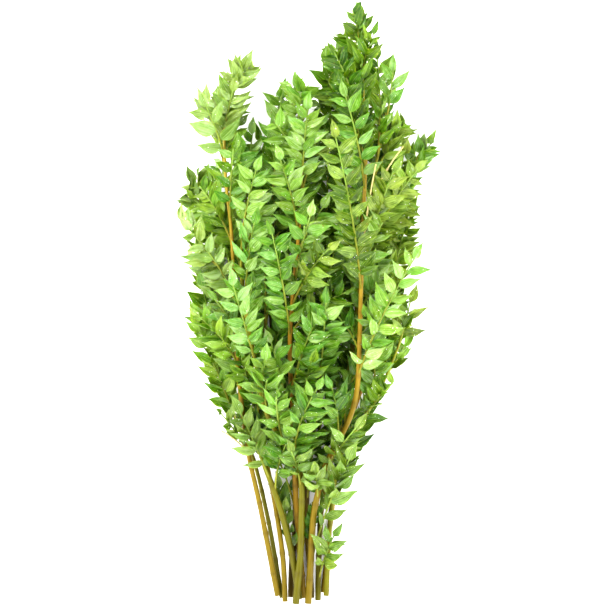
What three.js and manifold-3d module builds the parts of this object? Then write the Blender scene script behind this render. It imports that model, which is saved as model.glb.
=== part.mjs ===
// A bunch of twelve leafy ruscus stems, cut, dried and gathered, lying on its back.
// Millimetres. +X to the right and +Y from the cut ends to the tips, as seen from above. The bunch lies
// on the surface z = 0 and +Z is up.
import * as THREE from "three";
import { mergeVertices } from "three/addons/utils/BufferGeometryUtils.js";
import Module from "manifold-3d";

const wasm = await Module();
wasm.setup();

// Stems and twigs.
const STEM_SIDES = 6;
const STEM_STEP = 55; // longest stretch between two rings of a stem
const TWIG_SIDES = 3;
const TWIG_STEP = 15;
const TWIG_ROOT_RADIUS = 1.3;
const TWIG_TIP_RADIUS = 0.7;
const STEM_PULL = 0.75; // how strongly a twig first follows its stem
const ELBOW_SHARE = 0.45; // where a twig's bend stands, as a share of its span
const TWIG_BOW = 0.05; // how far that bend is lifted, as a share of the span
const TIP_SHIFT = { x: 0.5, y: 0.4, z: 0.75 }; // how much further each trial may move a twig's tip
const BOW_SHIFT = 0.12; // and how much more or less it may bow, as a share of the bow
const LOWEST_TIP = 6;
const TWIG_SEED = 7000;
const TWIG_TRIALS = 40;
const TWIG_CLEAR_FROM = 14; // a twig may be close to other wood only this near to its own root
const FIT_GAP = 0.3; // left between a spray and the stem that carries it

// Leaves.
const LEAF_LENGTH = 32;
const LEAF_WIDTH = 14;
const LEAF_SHOULDERS = [0.3, 0.66]; // where along the blade its two sections stand
const LEAF_SHOULDER_WIDTHS = [1, 0.8]; // their share of the full width
const RIB_RISE = 0.6; // top of the midrib above the blade's middle plane
const EDGE_DROP = 0.4; // underside of the blade below that plane
const LEAF_SPACING = 9.4; // from one leaf to the next, on the other side of the twig
const FIRST_LEAF = 17; // from the stem's axis
const TIP_ROOT_DEPTH = 4; // how far inside the twig's end its last leaf is rooted
const LEAF_SIZES = [0.84, 1.12]; // share of the full length
const WIDTH_SPREAD = [0.9, 1.1];
const YOUNG_LEAVES = 2; // leaves at a twig's tip that are smaller
const YOUNG_LEAF_SIZE = 0.8;
const LEAF_BEND = [-0.12, 0.14]; // how far a tip curves off the blade's plane, as a share of its length
const LEAF_OPENING = [32, 64]; // degrees between a leaf and its twig
const LEAF_TILT = 12; // degrees that the leaves lean up from the plane of their twig
const OPENING_SPREAD = [-5, 5];
const TILT_SPREAD = [-30, 30];
const ROLL_SPREAD = [-35, 35];
const TIP_LEAF_SWAY = 0.15;
const LEAF_LOOSENESS = 0.5; // share of those three spreads that a leaf's first trial uses
const LOOSER_EACH_TRIAL = 0.11;
const LEAF_TRIALS = 26;
const TRIALS_FULL_SIZE = 14; // after this many a smaller leaf is tried
const CROWDED_LEAF_SIZE = 0.82;
const ROOT_SHARE = 0.45; // inner share of a blade that may pass close to its own twig
const ROOT_IN_TWIG = 0.08; // inner share of a blade that is inside its own twig

// The space that the bunch fills, cut into cells that each belong to one piece.
const CELL = 1.7;
const ROD_STEP = CELL * 0.7; // between the points that claim a rod's cells
const BLADE_STEP = CELL * 0.75; // and a blade's
const ROD_POINTS = 8; // round a rod, where it claims its cells
const SPACE_MIN = new THREE.Vector3(-163, -364, 0.5);
const SPACE_MAX = new THREE.Vector3(163, 364, 148);

const UP = new THREE.Vector3(0, 0, 1);
const DEGREE = Math.PI / 180;
const FLAT_RING_RISE = Math.sin(Math.PI / 3); // a hexagon's flat below its middle, in radii
const FULL_RANGE = 2 ** 32; // the random stream's whole numbers are below this
const MERGE_WITHIN = 1e-4;
const BARK_ROUGHNESS = 0.6;
const LEAF_ROUGHNESS = 0.45;

const WOOD = { ochre: "#b98f3a", olive: "#8f8232", orange: "#c08a3c", dark: "#6d5f2b", straw: "#b5a550" };
const GREEN = { leaf: "#6aa534", light: "#8fbf4a", deep: "#4f8a26", grey: "#7f9a55", lime: "#a3c552" };

// Each stem: its radius at the cut end and at the top, and its route. A height of 0 lies on the surface.
const STEMS = [
  { name: "stem_01_outer_left", wood: WOOD.ochre, radius: [3.5, 1.6], route: [[-38, -355, 17],
    [-60, -242, 27], [-74, -178, 38], [-80, -130, 48], [-87, -60, 58], [-90, 10, 64], [-93, 86, 70],
    [-99, 140, 70], [-102, 205, 66]] },
  { name: "stem_02_low_left", wood: WOOD.olive, radius: [2.9, 1.6], route: [[-33, -358, 10],
    [-51, -256, 14], [-71, -178, 16], [-89, -140, 16], [-104, -100, 14], [-114, -50, 10], [-120, 10, 4],
    [-124, 60, 0], [-127, 105, 0]] },
  { name: "stem_03_left_middle", wood: WOOD.ochre, radius: [3.3, 1.7], route: [[-29, -362, 18],
    [-31, -315, 20], [-40, -250, 20], [-57, -165, 27], [-71, -92, 34], [-79, -10, 36], [-80, 55, 38]] },
  { name: "stem_04_thick_left", wood: WOOD.olive, radius: [4.2, 1.7], route: [[-12, -359, 16],
    [-18, -318, 20], [-27, -278, 27], [-38, -238, 32], [-56, -188, 40], [-63, -150, 44], [-60, -110, 46],
    [-54, -50, 48], [-50, 10, 50], [-47, 80, 52]] },
  { name: "stem_05_back_left", wood: WOOD.dark, radius: [3.8, 1.7], route: [[-22, -358, 0],
    [-21, -320, 0], [-17, -264, 3], [-19, -200, 6], [-34, -130, 10], [-44, -56, 12], [-48, 28, 14]] },
  { name: "stem_06_front", wood: WOOD.olive, radius: [4.3, 1.4], route: [[-16, -364, 26],
    [-10, -300, 30], [-9, -262, 35], [-9, -229, 41], [-12, -198, 48], [-30, -168, 58], [-46, -145, 66],
    [-58, -105, 74], [-67, -55, 80], [-77, -5, 84], [-81, 40, 86], [-79, 86, 90]] },
  { name: "stem_07_centre", wood: WOOD.orange, radius: [3.9, 1.6], route: [[-7, -359, 3], [-11, -300, 8],
    [-16, -235, 20], [-17, -170, 36], [-21, -110, 54], [-23, -50, 68], [-19, 15, 78], [-13, 78, 84],
    [-8, 139, 82], [-10, 180, 76]] },
  { name: "stem_08_right_front", wood: WOOD.ochre, radius: [4.2, 1.6], route: [[-1, -364, 23],
    [2, -314, 26], [7, -248, 36], [25, -184, 50], [46, -145, 62], [57, -108, 72], [60, -56, 80],
    [62, 18, 84], [65, 104, 84], [68, 184, 76], [66, 241, 68]] },
  { name: "stem_09_back_centre", wood: WOOD.dark, radius: [3.8, 1.8], route: [[3, -359, 0],
    [1, -320, 0], [-3, -264, 4], [0, -200, 10], [10, -130, 20], [16, -40, 32], [19, 58, 40]] },
  { name: "stem_10_right_middle", wood: WOOD.olive, radius: [3.6, 1.5], route: [[11, -361, 11],
    [12, -310, 13], [17, -235, 18], [33, -165, 26], [44, -110, 34], [55, -32, 46], [63, 35, 54],
    [72, 110, 60], [80, 165, 64], [93, 222, 64]] },
  { name: "stem_11_low_right", wood: WOOD.orange, radius: [2.9, 1.6], route: [[17, -352, 3],
    [24, -290, 4], [33, -220, 7], [46, -160, 12], [68, -92, 14], [90, -25, 8], [98, 30, 1], [101, 78, 0],
    [104, 115, 0]] },
  { name: "stem_12_outer_right", wood: WOOD.straw, radius: [3.4, 1.5], route: [[21, -355, 18],
    [23, -310, 20], [28, -240, 26], [36, -195, 32], [60, -147, 42], [78, -118, 48], [94, -86, 52],
    [106, -56, 54]] },
];

// Each leafy spray: the stem that carries it, how far along the bunch it leaves that stem, and its tip. Scale is
// the size of its leaves, and spread how wide they stand from their twig.
const AT_END = Infinity;
const SPRAYS = [
  { name: "spray_01_top", stem: 1, y: AT_END, tip: [-78, 281, 62], scale: 1.2, spread: 0.9, green: GREEN.grey },
  { name: "spray_01_left_tip", stem: 1, y: 172, tip: [-130, 234, 78], scale: 1.15, green: GREEN.grey },
  { name: "spray_01_inner", stem: 1, y: 100, tip: [-85, 186, 104], green: GREEN.leaf },
  { name: "spray_01_low", stem: 1, y: -90, tip: [-121, 56, 50], green: GREEN.grey },
  { name: "spray_01_outer", stem: 1, y: 5, tip: [-147, 102, 64], green: GREEN.grey },
  { name: "spray_02_top", stem: 2, y: AT_END, tip: [-140, 149, 14], green: GREEN.grey },
  { name: "spray_02_outer", stem: 2, y: -58, tip: [-137, 28, 28], green: GREEN.deep },
  { name: "spray_02_low", stem: 2, y: -145, tip: [-124, -34, 32], spread: 0.85, green: GREEN.deep },
  { name: "spray_03_top", stem: 3, y: AT_END, tip: [-68, 206, 50], green: GREEN.leaf },
  { name: "spray_03_left", stem: 3, y: 30, tip: [-106, 140, 34], green: GREEN.deep },
  { name: "spray_03_low", stem: 3, y: -168, tip: [-90, -66, 50], green: GREEN.deep },
  { name: "spray_04_top", stem: 4, y: AT_END, tip: [-33, 250, 54], green: GREEN.leaf },
  { name: "spray_04_middle", stem: 4, y: -30, tip: [-60, 76, 72], green: GREEN.leaf },
  { name: "spray_04_upper", stem: 4, y: -120, tip: [-34, -12, 62], green: GREEN.leaf },
  { name: "spray_04_low", stem: 4, y: -216, tip: [-92, -146, 66], green: GREEN.grey },
  { name: "spray_05_top", stem: 5, y: AT_END, tip: [-60, 198, 26], green: GREEN.deep },
  { name: "spray_06_top", stem: 6, y: AT_END, tip: [-62, 160, 104], green: GREEN.light },
  { name: "spray_06_front", stem: 6, y: -214, tip: [-38, -48, 102], green: GREEN.light },
  { name: "spray_06_right", stem: 6, y: -193, tip: [28, -92, 88], green: GREEN.leaf },
  { name: "spray_06_left", stem: 6, y: -75, tip: [-99, 18, 104], green: GREEN.leaf },
  { name: "spray_07_top", stem: 7, y: AT_END, tip: [-15, 260, 70], green: GREEN.light },
  { name: "spray_07_right_tip", stem: 7, y: 135, tip: [6, 238, 88], green: GREEN.light },
  { name: "spray_07_upper", stem: 7, y: 14, tip: [0, 112, 112], green: GREEN.light },
  { name: "spray_07_front", stem: 7, y: -4, tip: [30, 66, 120], green: GREEN.lime },
  { name: "spray_07_left", stem: 7, y: -40, tip: [-32, 76, 108], green: GREEN.leaf },
  { name: "spray_07_left_tip", stem: 7, y: 80, tip: [-42, 178, 98], green: GREEN.light },
  { name: "spray_07_middle", stem: 7, y: -108, tip: [4, -8, 88], green: GREEN.leaf },
  { name: "spray_07_low", stem: 7, y: -172, tip: [-4, -66, 76], green: GREEN.deep },
  { name: "spray_08_top", stem: 8, y: AT_END, tip: [58, 346, 60], spread: 0.7, green: GREEN.deep },
  { name: "spray_08_front", stem: 8, y: 14, tip: [38, 198, 118], green: GREEN.lime },
  { name: "spray_08_right", stem: 8, y: -90, tip: [108, 66, 104], green: GREEN.light },
  { name: "spray_08_low", stem: 8, y: -318, tip: [34, -176, 62], bare: 44, scale: 1.2, spread: 0.7, green: GREEN.grey },
  { name: "spray_08_left_tip", stem: 8, y: 135, tip: [36, 250, 88], green: GREEN.leaf },
  { name: "spray_09_top", stem: 9, y: AT_END, tip: [29, 292, 46], spread: 0.85, green: GREEN.deep },
  { name: "spray_09_front", stem: 9, y: -115, tip: [27, 16, 84], green: GREEN.leaf },
  { name: "spray_09_right", stem: 9, y: -20, tip: [46, 80, 54], green: GREEN.deep },
  { name: "spray_09_low", stem: 9, y: -178, tip: [44, -62, 22], green: GREEN.deep },
  { name: "spray_10_top", stem: 10, y: AT_END, tip: [101, 280, 62], spread: 0.75, green: GREEN.leaf },
  { name: "spray_10_upper", stem: 10, y: 175, tip: [70, 292, 52], spread: 0.8, green: GREEN.deep },
  { name: "spray_10_right", stem: 10, y: 40, tip: [100, 158, 84], green: GREEN.lime },
  { name: "spray_11_top", stem: 11, y: AT_END, tip: [143, 196, 22], green: GREEN.light },
  { name: "spray_11_upper", stem: 11, y: 95, tip: [114, 184, 40], green: GREEN.lime },
  { name: "spray_11_inner", stem: 11, y: 5, tip: [84, 112, 30], green: GREEN.leaf },
  { name: "spray_11_outer", stem: 11, y: -14, tip: [116, 86, 40], green: GREEN.lime },
  { name: "spray_11_low", stem: 11, y: -75, tip: [115, 20, 24], green: GREEN.deep },
  { name: "spray_12_top", stem: 12, y: AT_END, tip: [122, 4, 58], green: GREEN.lime },
  { name: "spray_12_low", stem: 12, y: -190, tip: [84, -124, 26], spread: 0.8, green: GREEN.deep },
  { name: "spray_12_inner", stem: 12, y: -122, tip: [78, -4, 68], green: GREEN.light },
];

/** A repeatable stream of numbers from 0 to 1 for one seed. */
function randomStream(seed) {
  let state = Math.imul(seed, 0x9e3779b1) >>> 0;
  return () => {
    state = (state + 0x6d2b79f5) >>> 0;
    let mixed = Math.imul(state ^ (state >>> 15), state | 1);
    mixed ^= mixed + Math.imul(mixed ^ (mixed >>> 7), mixed | 61);
    return ((mixed ^ (mixed >>> 14)) >>> 0) / FULL_RANGE;
  };
}

// The steps from a cell to itself and to each cell next to it.
const NEAR = [-1, 0, 1].flatMap((x) => [-1, 0, 1].flatMap((y) => [-1, 0, 1].map((z) => [x, y, z])));

/** Which piece holds each cell of the space round the bunch. */
class Space {
  constructor() {
    const size = SPACE_MAX.clone().sub(SPACE_MIN).divideScalar(CELL);
    this.count = size.toArray().map((cells) => Math.floor(cells) + 1);
    this.owner = new Uint16Array(this.count[0] * this.count[1] * this.count[2]);
  }

  /** The cell that a point is in, as whole numbers, or null outside the space. */
  cell(point) {
    const place = point.clone().sub(SPACE_MIN).divideScalar(CELL).floor().toArray();
    return place.every((value, axis) => value >= 0 && value < this.count[axis]) ? place : null;
  }

  index([x, y, z]) {
    return (z * this.count[1] + y) * this.count[0] + x;
  }

  /** True where every point is in a cell that is free, or that the given owner holds. */
  isFree(points, owner = 0) {
    return points.every((point) => {
      const place = this.cell(point);
      if (!place) return false;
      const holder = this.owner[this.index(place)];
      return holder === 0 || holder === owner;
    });
  }

  /** Gives the free cells at and next to the points to an owner. */
  claim(points, owner) {
    for (const point of points) {
      const place = this.cell(point);
      if (!place) continue;
      for (const near of NEAR) {
        const spot = place.map((value, axis) => value + near[axis]);
        if (!spot.every((value, axis) => value >= 0 && value < this.count[axis])) continue;
        const index = this.index(spot);
        if (this.owner[index] === 0) this.owner[index] = owner;
      }
    }
  }
}

/** A closed solid through rings of points. The first and last ring may be a single point. */
function loft(rings) {
  const positions = rings.flat().flatMap((point) => point.toArray());
  const starts = rings.map((ring, index) => rings.slice(0, index).flat().length);
  const faces = [];
  for (let ring = 0; ring + 1 < rings.length; ring++) {
    const [here, next] = [rings[ring].length, rings[ring + 1].length];
    for (let side = 0; side < Math.max(here, next); side++) {
      const a = starts[ring] + (side % here);
      const b = starts[ring] + ((side + 1) % here);
      const c = starts[ring + 1] + (side % next);
      const d = starts[ring + 1] + ((side + 1) % next);
      if (here > 1) faces.push(a, d, b);
      if (next > 1) faces.push(a, c, d);
    }
  }
  for (const [ring, turned] of [[0, false], [rings.length - 1, true]]) {
    for (let side = 1; side + 1 < rings[ring].length; side++) {
      const fan = [starts[ring], starts[ring] + side, starts[ring] + side + 1];
      faces.push(...(turned ? fan.reverse() : fan));
    }
  }
  const geometry = new THREE.BufferGeometry();
  geometry.setAttribute("position", new THREE.Float32BufferAttribute(positions, 3));
  geometry.setIndex(faces);
  return geometry;
}

/** Points round a ring that stands across a direction, with a flat below where it has six sides. */
function ringAt(centre, direction, radius, sides) {
  const across = direction.clone().cross(UP).normalize();
  const rise = across.clone().cross(direction).normalize();
  return Array.from({ length: sides }, (_, side) => {
    const turn = (side / sides) * 2 * Math.PI;
    return centre.clone()
      .addScaledVector(across, radius * Math.cos(turn))
      .addScaledVector(rise, radius * Math.sin(turn));
  });
}

/** Evenly spaced rings along a curve: each one's middle, direction, radius and distance along the rod. */
function ringsAlong(curve, step, [startRadius, endRadius]) {
  const count = Math.ceil(curve.getLength() / step);
  const rings = curve.getSpacedPoints(count).map((centre, index) => ({
    centre,
    direction: curve.getTangentAt(index / count),
    radius: THREE.MathUtils.lerp(startRadius, endRadius, index / count),
    travel: 0,
  }));
  return measured(rings);
}

/** The same rings with their distances along the rod worked out. */
function measured(rings) {
  for (let index = 1; index < rings.length; index++) {
    rings[index].travel = rings[index - 1].travel + rings[index].centre.distanceTo(rings[index - 1].centre);
  }
  return rings;
}

/** The middle, direction and radius of a rod at a distance along its rings. */
function placeOn(rings, travel) {
  const found = rings.findIndex((ring) => ring.travel > travel);
  const next = found < 1 ? rings.length - 1 : found;
  const [here, there] = [rings[next - 1], rings[next]];
  const share = (travel - here.travel) / (there.travel - here.travel);
  return {
    centre: here.centre.clone().lerp(there.centre, share),
    direction: there.centre.clone().sub(here.centre).normalize(),
    radius: THREE.MathUtils.lerp(here.radius, there.radius, share),
  };
}

/** How far along its rings a stem reaches a distance along the bunch. */
function travelAt(rings, y) {
  if (y === AT_END) return rings.at(-1).travel;
  const next = rings.findIndex(({ centre }) => centre.y > y);
  const [here, there] = [rings[next - 1], rings[next]];
  return THREE.MathUtils.mapLinear(y, here.centre.y, there.centre.y, here.travel, there.travel);
}

/** Points over the surface and the middle of a rod, close enough together to claim its cells. */
function rodPoints(rings, from = 0) {
  const points = [];
  for (let travel = from; travel <= rings.at(-1).travel; travel += ROD_STEP) {
    const { centre, direction, radius } = placeOn(rings, travel);
    points.push(centre, ...ringAt(centre, direction, radius, ROD_POINTS));
  }
  return points;
}

/** The rings of a stem, each lifted where its flat would be below the surface. */
function stemRings({ route, radius }) {
  const points = route.map((point) => new THREE.Vector3(...point));
  const curve = new THREE.CatmullRomCurve3(points, false, "centripetal");
  const rings = ringsAlong(curve, STEM_STEP, radius);
  for (const ring of rings) {
    const lowest = FLAT_RING_RISE * ring.radius;
    if (ring.centre.z > lowest) continue;
    ring.centre.z = lowest;
    ring.direction.setZ(0).normalize();
  }
  return measured(rings);
}

/** A stem's solid, or with a gap the space that its sprays keep clear of. */
function stemGeometry(stem, gap = 0) {
  const rings = stem.rings.map(({ centre, direction, radius }) => (
    ringAt(centre, direction, radius + gap / FLAT_RING_RISE, STEM_SIDES)
  ));
  const end = stem.rings.at(-1).direction.clone().multiplyScalar(gap);
  for (const point of rings.at(-1)) point.add(end);
  return loft(rings);
}

/** The rings of a spray's twig: out of its stem at a slant, then bowed up towards its tip. */
function twigRings(spray, stem, draw, reach) {
  const { centre: root, direction } = placeOn(stem.rings, travelAt(stem.rings, spray.y));
  const tip = new THREE.Vector3(...spray.tip);
  for (const axis of ["x", "y", "z"]) tip[axis] += reach * between(draw, -TIP_SHIFT[axis], TIP_SHIFT[axis]);
  tip.z = Math.max(tip.z, LOWEST_TIP);
  const along = tip.clone().sub(root);
  const start = direction.multiplyScalar(STEM_PULL).add(along.clone().normalize()).normalize();
  const elbow = root.clone().addScaledVector(start, along.length() * ELBOW_SHARE);
  elbow.z += along.length() * TWIG_BOW * (1 + reach * between(draw, -BOW_SHIFT, BOW_SHIFT));
  const curve = new THREE.QuadraticBezierCurve3(root, elbow, tip);
  return ringsAlong(curve, TWIG_STEP, [TWIG_ROOT_RADIUS, TWIG_TIP_RADIUS]);
}

/** Finds the first route for a spray's twig that is clear of the wood already placed. */
function placeTwig(spray, number, space) {
  const stem = STEMS[spray.stem - 1];
  const draw = randomStream(TWIG_SEED + number);
  for (let trial = 0; trial < TWIG_TRIALS; trial++) {
    const rings = twigRings(spray, stem, draw, trial);
    if (trial === TWIG_TRIALS - 1 || space.isFree(rodPoints(rings, TWIG_CLEAR_FROM))) {
      space.claim(rodPoints(rings), spray.id);
      return rings;
    }
  }
}

/** A point of a blade: share along it, share across it from -1 to 1, and height off its middle plane. */
function bladePoint(leaf, along, across, height = 0) {
  const reach = leaf.length * along;
  const bent = leaf.length * leaf.bend * along * along;
  return leaf.base.clone()
    .addScaledVector(leaf.direction, reach)
    .addScaledVector(leaf.side, across * bladeHalfWidth(leaf, along))
    .addScaledVector(leaf.normal, height + bent);
}

/** Half the width of a blade at a share along it. */
function bladeHalfWidth(leaf, along) {
  const marks = [0, ...LEAF_SHOULDERS, 1];
  const widths = [0, ...LEAF_SHOULDER_WIDTHS, 0];
  const next = Math.max(1, marks.findIndex((mark) => mark >= along));
  const share = (along - marks[next - 1]) / (marks[next] - marks[next - 1]);
  return (leaf.width / 2) * THREE.MathUtils.lerp(widths[next - 1], widths[next], share);
}

/** Points over a blade between two shares of its length. */
function bladePoints(leaf, from, to) {
  const rows = Math.ceil(leaf.length / BLADE_STEP);
  const points = [];
  for (let row = 0; row <= rows; row++) {
    const along = row / rows;
    if (along < from || along > to) continue;
    const half = bladeHalfWidth(leaf, along);
    const columns = Math.ceil(half / BLADE_STEP);
    for (let column = -columns; column <= columns; column++) {
      points.push(bladePoint(leaf, along, columns ? column / columns : 0));
    }
  }
  return points;
}

/** A blade's solid: a roof-shaped section at each shoulder, and a point at its root and tip. */
function leafGeometry(leaf) {
  const sections = LEAF_SHOULDERS.map((along) => [
    bladePoint(leaf, along, 1, -EDGE_DROP),
    bladePoint(leaf, along, 0, RIB_RISE),
    bladePoint(leaf, along, -1, -EDGE_DROP),
  ]);
  return loft([[bladePoint(leaf, 0, 0)], ...sections, [bladePoint(leaf, 1, 0)]]);
}

/** A number between two others, drawn from a stream. */
function between(draw, low, high) {
  return low + (high - low) * draw();
}

/** Draws one way for a leaf to stand on its twig; later trials turn it further out of its plane. */
function drawLeaf(spray, slot, trial, draw) {
  const { scale = 1, spread = 1 } = spray;
  const travel = spray.length - TIP_ROOT_DEPTH - slot * LEAF_SPACING * scale;
  const { centre: base, direction: forward } = placeOn(spray.rings, travel);
  const across = forward.clone().cross(UP).normalize();
  const rise = across.clone().cross(forward).normalize();
  const loose = LEAF_LOOSENESS + trial * LOOSER_EACH_TRIAL;
  const atTip = slot === 0;
  const hand = atTip ? between(draw, -TIP_LEAF_SWAY, TIP_LEAF_SWAY) : 1 - 2 * (slot % 2);
  const opening = DEGREE * spread * (between(draw, ...LEAF_OPENING) + loose * between(draw, ...OPENING_SPREAD));
  const tilt = DEGREE * (LEAF_TILT + loose * between(draw, ...TILT_SPREAD));
  const roll = DEGREE * loose * between(draw, ...ROLL_SPREAD);
  const outward = across.multiplyScalar(hand * Math.cos(tilt)).addScaledVector(rise, Math.sin(tilt));
  const direction = forward.clone().multiplyScalar(atTip ? 1 : Math.cos(opening));
  direction.addScaledVector(outward, atTip ? 1 : Math.sin(opening)).normalize();
  const level = direction.clone().cross(rise).normalize();
  const face = level.clone().cross(direction).normalize();
  const side = level.multiplyScalar(Math.cos(roll)).addScaledVector(face, Math.sin(roll)).normalize();
  const young = slot < YOUNG_LEAVES ? YOUNG_LEAF_SIZE : 1;
  const crowded = trial > TRIALS_FULL_SIZE ? CROWDED_LEAF_SIZE : 1;
  const size = young * between(draw, ...LEAF_SIZES) * crowded * scale;
  return {
    base,
    direction,
    side,
    normal: side.clone().cross(direction).normalize(),
    length: LEAF_LENGTH * size,
    width: LEAF_WIDTH * size * between(draw, ...WIDTH_SPREAD),
    bend: between(draw, ...LEAF_BEND),
  };
}

/** Adds a leaf to a spray at a place counted from its tip, if any way to stand is clear. */
function placeLeaf(spray, number, slot, space) {
  const draw = randomStream(number * 100 + slot + 1);
  for (let trial = 0; trial < LEAF_TRIALS; trial++) {
    const leaf = drawLeaf(spray, slot, trial, draw);
    const inner = bladePoints(leaf, ROOT_IN_TWIG, ROOT_SHARE);
    const outer = bladePoints(leaf, ROOT_SHARE, 1);
    if (space.isFree(inner, spray.id) && space.isFree(outer)) {
      space.claim([...inner, ...outer], spray.id);
      spray.leaves.push(leaf);
      return;
    }
  }
}

/** Turns a geometry into a solid that can be joined and cut. */
function toSolid(geometry) {
  const bare = geometry.clone();
  bare.deleteAttribute("normal");
  bare.deleteAttribute("uv");
  const merged = mergeVertices(bare, MERGE_WITHIN);
  return new wasm.Manifold(new wasm.Mesh({
    numProp: 3,
    vertProperties: merged.attributes.position.array,
    triVerts: Uint32Array.from(merged.index.array),
  }));
}

/** Turns a joined or cut solid back into a geometry. */
function toGeometry(solid) {
  const { vertProperties, triVerts } = solid.getMesh();
  const geometry = new THREE.BufferGeometry();
  geometry.setAttribute("position", new THREE.BufferAttribute(vertProperties, 3));
  geometry.setIndex(new THREE.BufferAttribute(triVerts, 1));
  return geometry;
}

/** A spray's solid: its twig and leaves in one, cut clear of the stem that carries it. */
function sprayGeometry(spray) {
  const rings = spray.rings.map(({ centre, direction, radius }) => (
    ringAt(centre, direction, radius, TWIG_SIDES)
  ));
  const twig = toSolid(loft(rings));
  const whole = spray.leaves.reduce((solid, leaf) => solid.add(toSolid(leafGeometry(leaf))), twig);
  return toGeometry(whole.subtract(STEMS[spray.stem - 1].clearance));
}

/** One named piece of the bunch. */
function piece(name, geometry, color, roughness) {
  geometry.computeVertexNormals();
  const mesh = new THREE.Mesh(geometry, new THREE.MeshStandardMaterial({ color, roughness, metalness: 0 }));
  mesh.name = name;
  return mesh;
}

const space = new Space();

STEMS.forEach((stem, index) => {
  stem.rings = stemRings(stem);
  stem.clearance = toSolid(stemGeometry(stem, FIT_GAP));
  space.claim(rodPoints(stem.rings), index + 1);
});

SPRAYS.forEach((spray, index) => {
  spray.id = STEMS.length + index + 1;
  spray.rings = placeTwig(spray, index, space);
  spray.length = spray.rings.at(-1).travel;
  spray.leaves = [];
});

const longestSpray = Math.max(...SPRAYS.map((spray) => spray.length));
for (let slot = 0; slot * LEAF_SPACING < longestSpray; slot++) {
  SPRAYS.forEach((spray, index) => {
    const travel = spray.length - slot * LEAF_SPACING * (spray.scale ?? 1);
    if (travel >= (spray.bare ?? FIRST_LEAF)) placeLeaf(spray, index, slot, space);
  });
}

const group = new THREE.Group();
for (const stem of STEMS) group.add(piece(stem.name, stemGeometry(stem), stem.wood, BARK_ROUGHNESS));
for (const spray of SPRAYS) group.add(piece(spray.name, sprayGeometry(spray), spray.green, LEAF_ROUGHNESS));

export default group;
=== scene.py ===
"""A bunch of preserved ruscus that lies on a pale studio surface.

Twelve cut stems carry leafy sprays. The stems and the main sprays stand exactly where the frame's solids
are: their routes, and the rule that sets every leaf, are repeated here from the same named values. Each
spray is then a twig with thin veined blades, and finer side sprays fill the room between them.

Lengths are millimetres up to the last step, which turns them to metres. +X is right, +Y runs from the cut
ends to the tips, and +Z is up off the surface.
"""

import logging
import math
from collections.abc import Callable, Iterable, Mapping, Sequence
from dataclasses import dataclass, field
from enum import Enum

import bpy
import numpy as np
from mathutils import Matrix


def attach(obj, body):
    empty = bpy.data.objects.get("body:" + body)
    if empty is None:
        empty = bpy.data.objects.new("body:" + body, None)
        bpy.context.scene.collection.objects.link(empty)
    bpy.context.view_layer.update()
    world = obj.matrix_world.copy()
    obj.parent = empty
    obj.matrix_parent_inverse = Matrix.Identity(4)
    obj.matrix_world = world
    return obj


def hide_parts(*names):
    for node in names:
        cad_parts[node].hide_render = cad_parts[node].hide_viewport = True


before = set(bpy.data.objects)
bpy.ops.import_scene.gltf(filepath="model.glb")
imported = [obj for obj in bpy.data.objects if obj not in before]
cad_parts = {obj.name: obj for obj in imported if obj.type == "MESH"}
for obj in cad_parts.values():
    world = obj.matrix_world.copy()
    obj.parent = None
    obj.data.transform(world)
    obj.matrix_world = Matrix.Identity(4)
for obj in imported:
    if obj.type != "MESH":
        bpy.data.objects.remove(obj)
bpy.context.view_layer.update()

logging.basicConfig(level=logging.INFO, format="%(message)s")
LOG = logging.getLogger("ruscus")

Array = np.ndarray
Range = tuple[float, float]
Point = tuple[float, float, float]
Colour = tuple[float, float, float, float]
Curve = Callable[[Array], Array]
Outline = Callable[[Array], bool]
Piece = bpy.types.Object
Material = bpy.types.Material
Tree = bpy.types.NodeTree
Node = bpy.types.Node
Socket = bpy.types.NodeSocket
Inputs = Mapping[int | str, object]

MM = 0.001
BODY = "root"
DEGREE = math.pi / 180
UP = np.array([0.0, 0.0, 1.0])

# Stems and twigs.
STEM_STEP = 55.0
TWIG_STEP = 15.0
TWIG_RADII = (1.3, 0.7)
FINE_TWIG_RADII = (0.85, 0.5)
STEM_PULL = 0.75
ELBOW_SHARE = 0.45
TWIG_BOW = 0.05
TIP_SHIFT = (0.5, 0.4, 0.75)
BOW_SHIFT = 0.12
LOWEST_TIP = 6.0
TWIG_SEED = 7000
TWIG_TRIALS = 40
TWIG_CLEAR_FROM = 14.0
FLAT_RING_RISE = math.sin(math.pi / 3)
ARC_DIVISIONS = 200
ARC_NUDGE = 1e-4
TINY = 1e-12
TRAVEL_MARGIN = 1e-9
SHORTEST_STRETCH = 0.01

# Leaves.
LEAF_LENGTH = 32.0
LEAF_WIDTH = 14.0
LEAF_SHOULDERS = (0.0, 0.3, 0.66, 1.0)
LEAF_SHOULDER_WIDTHS = (0.0, 1.0, 0.8, 0.0)
FOLDED_SHOULDERS = (0.0, 0.1, 0.3, 0.55, 0.78, 1.0)
FOLDED_WIDTHS = (0.0, 0.34, 0.84, 0.73, 0.3, 0.0)
LEAF_SPACING = 9.4
FIRST_LEAF = 17.0
TIP_ROOT_DEPTH = 4.0
LEAF_SIZES = (0.84, 1.12)
WIDTH_SPREAD = (0.9, 1.1)
YOUNG_LEAVES = 2
YOUNG_LEAF_SIZE = 0.8
LEAF_BEND = (-0.12, 0.14)
LEAF_OPENING = (32.0, 64.0)
LEAF_TILT = 12.0
OPENING_SPREAD = (-5.0, 5.0)
TILT_SPREAD = (-30.0, 30.0)
ROLL_SPREAD = (-35.0, 35.0)
TIP_LEAF_SWAY = 0.15
LEAF_LOOSENESS = 0.5
LOOSER_EACH_TRIAL = 0.11
LEAF_TRIALS = 26
TRIALS_FULL_SIZE = 14
CROWDED_LEAF_SIZE = 0.82
ROOT_SHARE = 0.45
ROOT_IN_TWIG = 0.08

# The blade that stands opposite each of the frame's blades, where it has room.
OPPOSITE_SHIFT = 0.4
OPPOSITE_SEED = 50

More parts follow.
